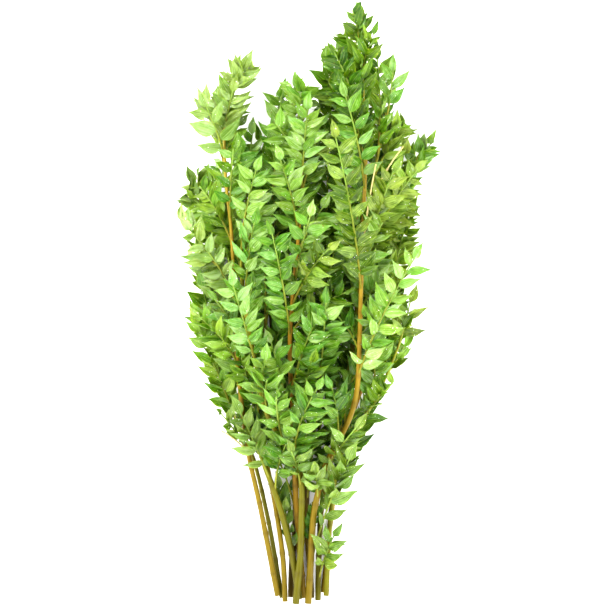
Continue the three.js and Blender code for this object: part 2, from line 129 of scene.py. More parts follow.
# Where the streams of random numbers start, for each kind of thing that is drawn.
FILLER_SEED = 9000
FILLER_SEED_EACH_STEM = 40
FILLER_SEED_SPACING = 10.0
STEM_JOINT_SEED = 300
SPRAY_FOLD_SEED = 5000
SIDE_FOLD_SEED = 6000
BARE_TWIG_SEED = 7500
SEEDS_EACH_SPRAY = 100
PATTERN_SHIFT = (0, 4000)
BARE_TWIG_SHIFT = 40.0

# The space round the bunch, cut into cells that each belong to one piece.
CELL = 1.7
ROD_STEP = CELL * 0.7
BLADE_STEP = CELL * 0.75
ROD_POINTS = 8
SPACE_MIN = np.array([-163.0, -364.0, 0.5])
SPACE_MAX = np.array([163.0, 364.0, 148.0])
NEAR = np.array([(x, y, z) for x in (-1, 0, 1) for y in (-1, 0, 1) for z in (-1, 0, 1)])

AT_END = math.inf

# The stream of random numbers.
WORD = 0xFFFFFFFF
STREAM_FACTOR = 0x9E3779B1
STREAM_STEP = 0x6D2B79F5


def colour(hex_code: str) -> Colour:
    """Turns an sRGB hex colour to linear.

    Args:
        hex_code: Six hex digits after a hash.

    Returns:
        Linear red, green, blue and an alpha of 1.
    """
    parts = [int(hex_code[at:at + 2], 16) / 255 for at in (1, 3, 5)]
    linear = [p / 12.92 if p <= 0.04045 else ((p + 0.055) / 1.055) ** 2.4 for p in parts]
    return (*linear, 1.0)


def unit(vector: Array) -> Array:
    """Returns a vector, or each row of an array of them, at length 1."""
    return vector / np.linalg.norm(vector, axis=-1, keepdims=True)


class RandomStream:
    """A repeatable stream of numbers from 0 to 1."""

    def __init__(self, seed: int) -> None:
        """Starts the stream for one seed."""
        self.state = (seed * STREAM_FACTOR) & WORD

    def draw(self) -> float:
        """Draws the next number.

        Returns:
            The number, from 0 to 1.
        """
        self.state = (self.state + STREAM_STEP) & WORD
        mixed = ((self.state ^ (self.state >> 15)) * (self.state | 1)) & WORD
        mixed ^= (mixed + (((mixed ^ (mixed >> 7)) * (mixed | 61)) & WORD)) & WORD
        return (mixed ^ (mixed >> 14)) / (WORD + 1)

    def between(self, low: float, high: float) -> float:
        """Returns the next number, spread from low to high."""
        return low + (high - low) * self.draw()


# Curves and rods.


def smooth_route(points: Array) -> Curve:
    """Makes a centripetal Catmull-Rom curve through points.

    Args:
        points: Rows of x, y and z.

    Returns:
        A function from shares of the curve, 0 to 1, to rows of points.
    """
    ends = np.vstack([2 * points[0] - points[1], points, 2 * points[-1] - points[-2]])
    last = len(points) - 1

    def point(share: float) -> Array:
        """Works out one point of the curve.

        Args:
            share: Its share of the curve, 0 to 1.

        Returns:
            The point.
        """
        first = min(int(share * last), last - 1)
        weight = share * last - first
        p0, p1, p2, p3 = ends[first:first + 4]
        gaps = [max(float((b - a) @ (b - a)), TINY) ** 0.25 for a, b in ((p0, p1), (p1, p2), (p2, p3))]
        leave = ((p1 - p0) / gaps[0] - (p2 - p0) / (gaps[0] + gaps[1]) + (p2 - p1) / gaps[1]) * gaps[1]
        arrive = ((p2 - p1) / gaps[1] - (p3 - p1) / (gaps[1] + gaps[2]) + (p3 - p2) / gaps[2]) * gaps[1]
        square = -3 * p1 + 3 * p2 - 2 * leave - arrive
        cube = 2 * p1 - 2 * p2 + leave + arrive
        return p1 + weight * (leave + weight * (square + weight * cube))

    return lambda shares: np.array([point(share) for share in shares])


def bow(root: Array, elbow: Array, tip: Array) -> Curve:
    """Makes a quadratic curve from a root to a tip that bends towards an elbow."""
    return lambda shares: (np.outer((1 - shares) ** 2, root) + np.outer(2 * shares * (1 - shares), elbow)
                           + np.outer(shares**2, tip))


@dataclass
class Rod:
    """A row of rings: the middles, directions and radii of a stem or twig.

    Attributes:
        centres: Middles of the rings, one row each.
        directions: The way that the rod runs at each ring.
        radii: The radius of each ring.
        travels: How far along the rod each ring stands.
    """

    centres: Array
    directions: Array
    radii: Array
    travels: Array = field(init=False)

    def __post_init__(self) -> None:
        """Works out how far along the rod each ring stands."""
        steps = np.linalg.norm(np.diff(self.centres, axis=0), axis=1)
        self.travels = np.concatenate([[0.0], np.cumsum(steps)])

    @classmethod
    def along(cls, curve: Curve, step: float, radii: Range) -> "Rod":
        """Sets evenly spaced rings along a curve.

        Args:
            curve: A function from shares, 0 to 1, to rows of points.
            step: The longest stretch between two rings.
            radii: The radius at the start and at the end.

        Returns:
            The rod.
        """
        marks = np.linspace(0, 1, ARC_DIVISIONS + 1)
        points = curve(marks)
        arcs = np.concatenate([[0.0], np.cumsum(np.linalg.norm(np.diff(points, axis=0), axis=1))])
        count = math.ceil(arcs[-1] / step)
        shares = np.interp(np.linspace(0, arcs[-1], count + 1), arcs, marks)
        ahead, behind = curve(np.minimum(shares + ARC_NUDGE, 1)), curve(np.maximum(shares - ARC_NUDGE, 0))
        return cls(curve(shares), unit(ahead - behind), np.linspace(*radii, count + 1))

    @property
    def length(self) -> float:
        """The rod's length along its rings."""
        return float(self.travels[-1])

    def place(self, travel: float) -> tuple[Array, Array]:
        """Finds one place on the rod.

        Args:
            travel: A distance along the rings.

        Returns:
            The middle and the direction there.
        """
        after = int(np.argmax(self.travels > travel)) or len(self.travels) - 1
        here, there = self.centres[after - 1], self.centres[after]
        span = self.travels[after] - self.travels[after - 1]
        return here + (there - here) * (travel - self.travels[after - 1]) / span, unit(there - here)

    def locate(self, travels: Array) -> tuple[Array, Array]:
        """Finds which rings stand on the two sides of each distance.

        Args:
            travels: Distances along the rings.

        Returns:
            The number of the ring after each, and its share of the way there from the ring before.
        """
        after = np.clip(np.searchsorted(self.travels, travels, side="right"), 1, len(self.travels) - 1)
        return after, (travels - self.travels[after - 1]) / (self.travels[after] - self.travels[after - 1])

    def cut(self, length: float) -> "Rod":
        """Shortens the rod.

        Args:
            length: Where it ends.

        Returns:
            The rod up to there.
        """
        kept = self.travels < length - SHORTEST_STRETCH
        middle, direction = self.place(length)
        radius = np.interp(length, self.travels, self.radii)
        return Rod(np.vstack([self.centres[kept], middle]), np.vstack([self.directions[kept], direction]),
                   np.append(self.radii[kept], radius))

    def travel_at(self, y: float) -> float:
        """Returns how far along its rings the rod reaches a distance along the bunch."""
        return self.length if y == AT_END else float(np.interp(y, self.centres[:, 1], self.travels))

    def skin(self, start: float = 0.0) -> Array:
        """Sets points over the rod's surface and along its middle.

        Args:
            start: The distance along the rod from which they start.

        Returns:
            The points, one row each.
        """
        travels = np.arange(start, self.length + TRAVEL_MARGIN, ROD_STEP)
        after, share = self.locate(travels)
        here, there = self.centres[after - 1], self.centres[after]
        middles = here + (there - here) * share[:, None]
        radii = self.radii[after - 1] + (self.radii[after] - self.radii[after - 1]) * share
        rings = hoops(middles, unit(there - here), radii, circle(ROD_POINTS))
        return np.vstack([middles, rings.reshape(-1, 3)])


def crosswise(direction: Array) -> tuple[Array, Array]:
    """Returns the level and the upright direction that stand across one direction, or across each row."""
    across = unit(np.cross(direction, UP))
    return across, unit(np.cross(across, direction))


def circle(sides: int) -> Array:
    """Returns the cosine and the sine of evenly spaced turns, one row each."""
    turns = np.arange(sides) / sides * 2 * math.pi
    return np.stack([np.cos(turns), np.sin(turns)], axis=1)


def hoops(centres: Array, directions: Array, radii: Array, around: Array) -> Array:
    """Sets a ring of points round each middle of a rod.

    Args:
        centres: The middles, one row each.
        directions: The way that the rod runs at each.
        radii: The radius of each ring.
        around: The cosine and the sine of each turn.

    Returns:
        The points by ring and turn.
    """
    across, rise = crosswise(directions)
    return centres[:, None] + radii[:, None, None] * (across[:, None] * around[:, :1] + rise[:, None] * around[:, 1:])


class Space:
    """Which piece holds each cell of the space round the bunch, and with it the cells next to that one."""

    def __init__(self) -> None:
        """Starts with every cell free."""
        self.count = np.floor((SPACE_MAX - SPACE_MIN) * (1 / CELL)).astype(int) + 1
        self.core = np.zeros(int(np.prod(self.count)), np.uint16)
        self.halo = np.zeros_like(self.core)

    def cells(self, points: Array) -> tuple[Array, Array]:
        """Returns the cell of each point as whole numbers, and whether it is inside the space."""
        places = np.floor((points - SPACE_MIN) * (1 / CELL)).astype(int)
        return places, ((places >= 0) & (places < self.count)).all(axis=1)

    def index(self, places: Array) -> Array:
        """Returns where each cell stands in the list of owners."""
        return (places[:, 2] * self.count[1] + places[:, 1]) * self.count[0] + places[:, 0]

    def is_free(self, points: Array, owner: int = 0, close: bool = False) -> bool:
        """Tells whether every point is in a cell that is free or that the given owner holds.

        Args:
            points: The points, one row each.
            owner: The piece that asks, if it may meet itself.
            close: Whether points may be in the cells next to another piece.

        Returns:
            Whether all of them are free.
        """
        places, inside = self.cells(points)
        if not inside.all():
            return False
        holders = (self.core if close else self.halo)[self.index(places)]
        return bool(((holders == 0) | (holders == owner)).all())

    def claim(self, points: Array, owner: int) -> None:
        """Gives the free cells at and next to the points to an owner.

        Args:
            points: The points, one row each.
            owner: The piece's number.
        """
        places, inside = self.cells(points)
        spots = np.unique(places[inside], axis=0)
        at = self.index(spots)
        self.core[at[self.core[at] == 0]] = owner
        spots = (spots[:, None] + NEAR).reshape(-1, 3)
        spots = self.index(spots[((spots >= 0) & (spots < self.count)).all(axis=1)])
        self.halo[spots[self.halo[spots] == 0]] = owner


# Stems, sprays and leaves.


class Wood(Enum):
    """The bark tones of the stems, each named for its material slot."""

    OCHRE = "wood_ochre"
    OLIVE = "wood_olive"
    ORANGE = "wood_orange"
    DARK = "wood_dark"
    STRAW = "wood_straw"


class Green(Enum):
    """The leaf tones of the sprays, each named for its material slot."""

    LEAF = "leaf_leaf"
    LIGHT = "leaf_light"
    DEEP = "leaf_deep"
    GREY = "leaf_grey"
    LIME = "leaf_lime"


@dataclass
class Stem:
    """A woody stem: its radius at the cut end and at the top, and its route. A height of 0 lies on the surface."""

    name: str
    wood: Wood
    radii: Range
    route: Sequence[Point]
    rod: Rod = field(init=False)

    def __post_init__(self) -> None:
        """Sets the rings, each lifted where the stem's flat underside would be below the surface."""
        self.rod = Rod.along(smooth_route(np.array(self.route, float)), STEM_STEP, self.radii)
        lowest = FLAT_RING_RISE * self.rod.radii
        low = self.rod.centres[:, 2] <= lowest
        self.rod.centres[low, 2] = lowest[low]
        self.rod.directions[low, 2] = 0
        self.rod = Rod(self.rod.centres, unit(self.rod.directions), self.rod.radii)


@dataclass(frozen=True)
class Leaf:
    """Where one blade stands: its root, its three directions, its size and its bend."""

    base: Array
    direction: Array
    side: Array
    normal: Array
    length: float
    width: float
    bend: float

    def points(self, start: float, end: float, marks: Sequence[float] = LEAF_SHOULDERS,
               widths: Sequence[float] = LEAF_SHOULDER_WIDTHS) -> Array:
        """Returns points over the blade between two shares of its length.

        Args:
            start: The share to start from.
            end: The share to end at.
            marks: Shares of the length where the width is given.
            widths: The width at each mark, as a share of the leaf's own.

        Returns:
            The points, one row each.
        """
        rows = math.ceil(self.length / BLADE_STEP)
        shares = np.arange(rows + 1) / rows
        shares = shares[(shares >= start) & (shares <= end)]
        halves = np.interp(shares, marks, widths) * self.width / 2
        columns = np.ceil(halves / BLADE_STEP - TINY).astype(int)
        across = np.concatenate([np.arange(-c, c + 1) / max(c, 1) * h for c, h in zip(columns, halves)])
        along = np.repeat(shares, 2 * columns + 1)
        bent = self.length * self.bend * along * along
        return (self.base + np.outer(along * self.length, self.direction)
                + np.outer(across, self.side) + np.outer(bent, self.normal))


@dataclass
class Spray:
    """A leafy spray.

    Attributes:
        name: Its name among the sprays of its stem.
        stem: The number of the stem that it belongs to, from 1.
        y: How far along the bunch it leaves what carries it.
        tip: Where its twig aims.
        green: The tone of its leaves.
        bare: How much of the twig has no leaves.
        scale: The size of its leaves, as a share of the usual one.
        spread: How far they open from the twig, as a share of the usual angle.
        carrier: The name of the spray whose twig carries it, where that isn't the stem.
        owner: The number that its cells carry.
        rod: Its twig, once placed.
        leaves: Its leaves, each with its place counted from the tip.
    """

    name: str
    stem: int
    y: float
    tip: Point
    green: Green
    bare: float = FIRST_LEAF
    scale: float = 1.0
    spread: float = 1.0
    carrier: str = ""
    owner: int = 0
    rod: Rod | None = None
    leaves: list[tuple[float, Leaf]] = field(default_factory=list)

    @property
    def slots(self) -> int:
        """How many leaves the twig has room for, counted from its tip."""
        return max(0, int((self.rod.length - self.bare) / (LEAF_SPACING * self.scale)) + 1)

    def route(self, holder: "Stem | Spray", stream: RandomStream, reach: float) -> Rod:
        """Draws one way for the twig to run: out of its holder at a slant, then bowed up towards its tip.

        Args:
            holder: The stem that carries the spray, or the spray whose twig does.
            stream: The numbers to draw from.
            reach: How far the tip and the bow may stray.

        Returns:
            The twig.
        """
        root, direction = holder.rod.place(holder.rod.travel_at(self.y))
        tip = np.array(self.tip, float)
        for axis in range(3):
            tip[axis] += reach * stream.between(-TIP_SHIFT[axis], TIP_SHIFT[axis])
        tip[2] = max(tip[2], LOWEST_TIP)
        along = tip - root
        span = float(np.linalg.norm(along))
        start = unit(direction * STEM_PULL + along / span)
        elbow = root + start * span * ELBOW_SHARE
        elbow[2] += span * TWIG_BOW * (1 + reach * stream.between(-BOW_SHIFT, BOW_SHIFT))
        return Rod.along(bow(root, elbow, tip), TWIG_STEP, FINE_TWIG_RADII if self.carrier else TWIG_RADII)

    def place_twig(self, stem: Stem, number: int, space: Space) -> None:
        """Sets the twig on the first route that is clear of the wood already placed.

        Args:
            stem: The stem that carries the spray.
            number: The spray's number, which seeds its route.
            space: The cells that are taken.
        """
        stream = RandomStream(TWIG_SEED + number)
        for trial in range(TWIG_TRIALS):
            self.rod = self.route(stem, stream, trial)
            if space.is_free(self.rod.skin(TWIG_CLEAR_FROM)):
                break
        space.claim(self.rod.skin(), self.owner)

    def draw_leaf(self, slot: int, trial: int, stream: RandomStream, opposite: bool) -> Leaf:
        """Draws one way for a leaf to stand on its twig.

        Args:
            slot: The leaf's place, counted from the twig's tip.
            trial: How many ways were tried before; later ones turn further out of the plane.
            stream: The numbers to draw from.
            opposite: Whether it stands on the side that the alternate leaves leave free there.

        Returns:
            The leaf.
        """
        place = slot + OPPOSITE_SHIFT if opposite else slot
        base, forward = self.rod.place(self.rod.length - TIP_ROOT_DEPTH - place * LEAF_SPACING * self.scale)
        across, rise = crosswise(forward)
        loose = LEAF_LOOSENESS + trial * LOOSER_EACH_TRIAL
        at_tip = slot == 0
        hand = stream.between(-TIP_LEAF_SWAY, TIP_LEAF_SWAY) if at_tip else 1 - 2 * ((slot + opposite) % 2)
        opening = DEGREE * self.spread * (stream.between(*LEAF_OPENING) + loose * stream.between(*OPENING_SPREAD))
        tilt = DEGREE * (LEAF_TILT + loose * stream.between(*TILT_SPREAD))
        roll = DEGREE * loose * stream.between(*ROLL_SPREAD)
        outward = across * hand * math.cos(tilt) + rise * math.sin(tilt)
        forward_share, outward_share = (1, 1) if at_tip else (math.cos(opening), math.sin(opening))
        direction = unit(forward * forward_share + outward * outward_share)
        level = unit(np.cross(direction, rise))
        face = unit(np.cross(level, direction))
        side = unit(level * math.cos(roll) + face * math.sin(roll))
        young = YOUNG_LEAF_SIZE if slot < YOUNG_LEAVES else 1
        crowded = CROWDED_LEAF_SIZE if trial > TRIALS_FULL_SIZE else 1
        size = young * stream.between(*LEAF_SIZES) * crowded * self.scale
        width = LEAF_WIDTH * size * stream.between(*WIDTH_SPREAD)
        bend = stream.between(*LEAF_BEND)
        return Leaf(base, direction, side, unit(np.cross(side, direction)), LEAF_LENGTH * size, width, bend)

    def place_leaf(self, number: int, slot: int, space: Space, close: bool = False, opposite: bool = False,
                   outline: Outline | None = None) -> None:
        """Adds a leaf at a place counted from the tip, if any way for it to stand is clear.

        Args:
            number: The spray's number, which seeds its leaves.
            slot: The leaf's place, counted from the twig's tip.
            space: The cells that are taken.
            close: Whether the leaf may stand in the cells next to another piece.
            opposite: Whether it is the second leaf of its place.
            outline: Tells whether points are where a leaf may be.
        """
        stream = RandomStream(number * SEEDS_EACH_SPRAY + slot + 1 + OPPOSITE_SEED * opposite)
        for trial in range(LEAF_TRIALS):
            leaf = self.draw_leaf(slot, trial, stream, opposite)
            inner, outer = leaf.points(ROOT_IN_TWIG, ROOT_SHARE), leaf.points(ROOT_SHARE, 1)
            if not (space.is_free(inner, self.owner, close) and space.is_free(outer, 0, close)):
                continue
            if outline and not outline(outer):
                continue
            space.claim(np.vstack([inner, outer]), self.owner)
            self.leaves.append((slot + OPPOSITE_SHIFT * opposite, leaf))
            return

    def dress(self, number: int, space: Space, outline: Outline | None = None) -> None:
        """Sets the whole spray's leaves, two at each place, close to what is there.

        Args:
            number: The spray's number, which seeds its leaves.
            space: The cells that are taken.
            outline: Tells whether points are where a leaf may be.
        """
        space.claim(self.rod.skin(), self.owner)
        for slot in range(self.slots):
            self.place_leaf(number, slot, space, close=True, outline=outline)
            if slot:
                self.place_leaf(number, slot, space, close=True, opposite=True, outline=outline)
        if self.leaves:
            self.trim()

    def trim(self) -> None:
        """Cuts the twig's tip back to the first leaf."""
        first = min(place for place, _ in self.leaves)
        self.rod = self.rod.cut(self.rod.length - first * LEAF_SPACING * self.scale)
        self.leaves = [(place - first, leaf) for place, leaf in self.leaves]


STEMS = (
    Stem("stem_01_outer_left", Wood.OCHRE, (3.5, 1.6), (
        (-38, -355, 17), (-60, -242, 27), (-74, -178, 38), (-80, -130, 48), (-87, -60, 58), (-90, 10, 64),
        (-93, 86, 70), (-99, 140, 70), (-102, 205, 66))),
    Stem("stem_02_low_left", Wood.OLIVE, (2.9, 1.6), (
        (-33, -358, 10), (-51, -256, 14), (-71, -178, 16), (-89, -140, 16), (-104, -100, 14), (-114, -50, 10),
        (-120, 10, 4), (-124, 60, 0), (-127, 105, 0))),
    Stem("stem_03_left_middle", Wood.OCHRE, (3.3, 1.7), (
        (-29, -362, 18), (-31, -315, 20), (-40, -250, 20), (-57, -165, 27), (-71, -92, 34), (-79, -10, 36),
        (-80, 55, 38))),
    Stem("stem_04_thick_left", Wood.OLIVE, (4.2, 1.7), (
        (-12, -359, 16), (-18, -318, 20), (-27, -278, 27), (-38, -238, 32), (-56, -188, 40), (-63, -150, 44),
        (-60, -110, 46), (-54, -50, 48), (-50, 10, 50), (-47, 80, 52))),
    Stem("stem_05_back_left", Wood.DARK, (3.8, 1.7), (
        (-22, -358, 0), (-21, -320, 0), (-17, -264, 3), (-19, -200, 6), (-34, -130, 10), (-44, -56, 12),
        (-48, 28, 14))),
    Stem("stem_06_front", Wood.OLIVE, (4.3, 1.4), (
        (-16, -364, 26), (-10, -300, 30), (-9, -262, 35), (-9, -229, 41), (-12, -198, 48), (-30, -168, 58),
        (-46, -145, 66), (-58, -105, 74), (-67, -55, 80), (-77, -5, 84), (-81, 40, 86), (-79, 86, 90))),
    Stem("stem_07_centre", Wood.ORANGE, (3.9, 1.6), (
        (-7, -359, 3), (-11, -300, 8), (-16, -235, 20), (-17, -170, 36), (-21, -110, 54), (-23, -50, 68),
        (-19, 15, 78), (-13, 78, 84), (-8, 139, 82), (-10, 180, 76))),
    Stem("stem_08_right_front", Wood.OCHRE, (4.2, 1.6), (
        (-1, -364, 23), (2, -314, 26), (7, -248, 36), (25, -184, 50), (46, -145, 62), (57, -108, 72),
        (60, -56, 80), (62, 18, 84), (65, 104, 84), (68, 184, 76), (66, 241, 68))),
    Stem("stem_09_back_centre", Wood.DARK, (3.8, 1.8), (
        (3, -359, 0), (1, -320, 0), (-3, -264, 4), (0, -200, 10), (10, -130, 20), (16, -40, 32), (19, 58, 40))),
    Stem("stem_10_right_middle", Wood.OLIVE, (3.6, 1.5), (
        (11, -361, 11), (12, -310, 13), (17, -235, 18), (33, -165, 26), (44, -110, 34), (55, -32, 46),
        (63, 35, 54), (72, 110, 60), (80, 165, 64), (93, 222, 64))),
    Stem("stem_11_low_right", Wood.ORANGE, (2.9, 1.6), (
        (17, -352, 3), (24, -290, 4), (33, -220, 7), (46, -160, 12), (68, -92, 14), (90, -25, 8), (98, 30, 1),
        (101, 78, 0), (104, 115, 0))),
    Stem("stem_12_outer_right", Wood.STRAW, (3.4, 1.5), (
        (21, -355, 18), (23, -310, 20), (28, -240, 26), (36, -195, 32), (60, -147, 42), (78, -118, 48),
        (94, -86, 52), (106, -56, 54))),
)

# Each main spray: its name, its stem, how far along the bunch it leaves that stem, its tip and its tone.
SPRAYS = (
    Spray("top", 1, AT_END, (-78, 281, 62), Green.GREY, scale=1.2, spread=0.9),
    Spray("left_tip", 1, 172, (-130, 234, 78), Green.GREY, scale=1.15),
    Spray("inner", 1, 100, (-85, 186, 104), Green.LEAF),
    Spray("low", 1, -90, (-121, 56, 50), Green.GREY),
    Spray("outer", 1, 5, (-147, 102, 64), Green.GREY),
    Spray("top", 2, AT_END, (-140, 149, 14), Green.GREY),
    Spray("outer", 2, -58, (-137, 28, 28), Green.DEEP),
    Spray("low", 2, -145, (-124, -34, 32), Green.DEEP, spread=0.85),
    Spray("top", 3, AT_END, (-68, 206, 50), Green.LEAF),
    Spray("left", 3, 30, (-106, 140, 34), Green.DEEP),
    Spray("low", 3, -168, (-90, -66, 50), Green.DEEP),
    Spray("top", 4, AT_END, (-33, 250, 54), Green.LEAF),
    Spray("middle", 4, -30, (-60, 76, 72), Green.LEAF),
    Spray("upper", 4, -120, (-34, -12, 62), Green.LEAF),
    Spray("low", 4, -216, (-92, -146, 66), Green.GREY),
    Spray("top", 5, AT_END, (-60, 198, 26), Green.DEEP),
    Spray("top", 6, AT_END, (-62, 160, 104), Green.LIGHT),
    Spray("front", 6, -214, (-38, -48, 102), Green.LIGHT),
    Spray("right", 6, -193, (28, -92, 88), Green.LEAF),
    Spray("left", 6, -75, (-99, 18, 104), Green.LEAF),
    Spray("top", 7, AT_END, (-15, 260, 70), Green.LIGHT),
    Spray("right_tip", 7, 135, (6, 238, 88), Green.LIGHT),
    Spray("upper", 7, 14, (0, 112, 112), Green.LIGHT),
    Spray("front", 7, -4, (30, 66, 120), Green.LIME),
    Spray("left", 7, -40, (-32, 76, 108), Green.LEAF),
    Spray("left_tip", 7, 80, (-42, 178, 98), Green.LIGHT),
    Spray("middle", 7, -108, (4, -8, 88), Green.LEAF),
    Spray("low", 7, -172, (-4, -66, 76), Green.DEEP),
    Spray("top", 8, AT_END, (58, 346, 60), Green.DEEP, spread=0.7),
    Spray("front", 8, 14, (38, 198, 118), Green.LIME),
    Spray("right", 8, -90, (108, 66, 104), Green.LIGHT),
    Spray("low", 8, -318, (34, -176, 62), Green.GREY, bare=44, scale=1.2, spread=0.7),
    Spray("left_tip", 8, 135, (36, 250, 88), Green.LEAF),
    Spray("top", 9, AT_END, (29, 292, 46), Green.DEEP, spread=0.85),
    Spray("front", 9, -115, (27, 16, 84), Green.LEAF),
    Spray("right", 9, -20, (46, 80, 54), Green.DEEP),
    Spray("low", 9, -178, (44, -62, 22), Green.DEEP),
    Spray("top", 10, AT_END, (101, 280, 62), Green.LEAF, spread=0.75),
    Spray("upper", 10, 175, (70, 292, 52), Green.DEEP, spread=0.8),
    Spray("right", 10, 40, (100, 158, 84), Green.LIME),
    Spray("top", 11, AT_END, (143, 196, 22), Green.LIGHT),
    Spray("upper", 11, 95, (114, 184, 40), Green.LIME),
    Spray("inner", 11, 5, (84, 112, 30), Green.LEAF),
    Spray("outer", 11, -14, (116, 86, 40), Green.LIME),
    Spray("low", 11, -75, (115, 20, 24), Green.DEEP),
    Spray("top", 12, AT_END, (122, 4, 58), Green.LIME),
    Spray("low", 12, -190, (84, -124, 26), Green.DEEP, spread=0.8),
    Spray("inner", 12, -122, (78, -4, 68), Green.LIGHT),
)
TIPS = np.array([spray.tip for spray in SPRAYS], float)


# Meshes and materials.


def feed(tree: Tree, node: Node, inputs: Inputs) -> None:
    """Sets a node's inputs.

    Args:
        tree: The node tree that holds the node.
        node: The node.
        inputs: For each input by name or place, the socket that feeds it or its constant value.
    """
    for place, value in inputs.items():
        if isinstance(value, Socket):
            tree.links.new(value, node.inputs[place])
        else:
            node.inputs[place].default_value = value


def add_node(tree: Tree, kind: str, inputs: Inputs | Sequence[object] = (), output: int | str = 0,
             **settings: object) -> Socket:
    """Adds a node with its settings, its constant inputs and its links.

    Args:
        tree: The node tree that takes the node.
        kind: The node's type, without ShaderNode in front.
        inputs: Its inputs, by name or place, or in order from the first.
        output: The output that is wanted, by name or place.
        **settings: Properties of the node by name.

    Returns:
        That output.
    """
    node = tree.nodes.new(f"ShaderNode{kind}")
    for name, value in settings.items():
        setattr(node, name, value)
    feed(tree, node, inputs if isinstance(inputs, Mapping) else dict(enumerate(inputs)))
    return node.outputs[output]


def set_stops(ramp: bpy.types.ColorRamp, stops: Iterable[tuple[float, str]]) -> None:
    """Sets the stops of a colour ramp that has two, and adds more where they are asked for.

    Args:
        ramp: The ramp.
        stops: Places from 0 to 1 with their sRGB hex colours.
    """
    for number, (place, hex_code) in enumerate(stops):
        element = ramp.elements[number] if number < len(ramp.elements) else ramp.elements.new(1.0)
        element.position = place
        element.color = colour(hex_code)


def new_material(name: str, layers: Sequence[str] = ()) -> tuple[Material, Node, list[Socket]]:
    """Starts a material.

    Args:
        name: Its name.
        layers: The mesh attributes that its patterns read.

    Returns:
        The material, its shader and one socket for each attribute.
    """
    material = bpy.data.materials.new(name)
    material.use_nodes = True
    tree = material.node_tree
    sockets = [add_node(tree, "Attribute", output="Vector", attribute_name=layer) for layer in layers]
    return material, tree.nodes["Principled BSDF"], sockets


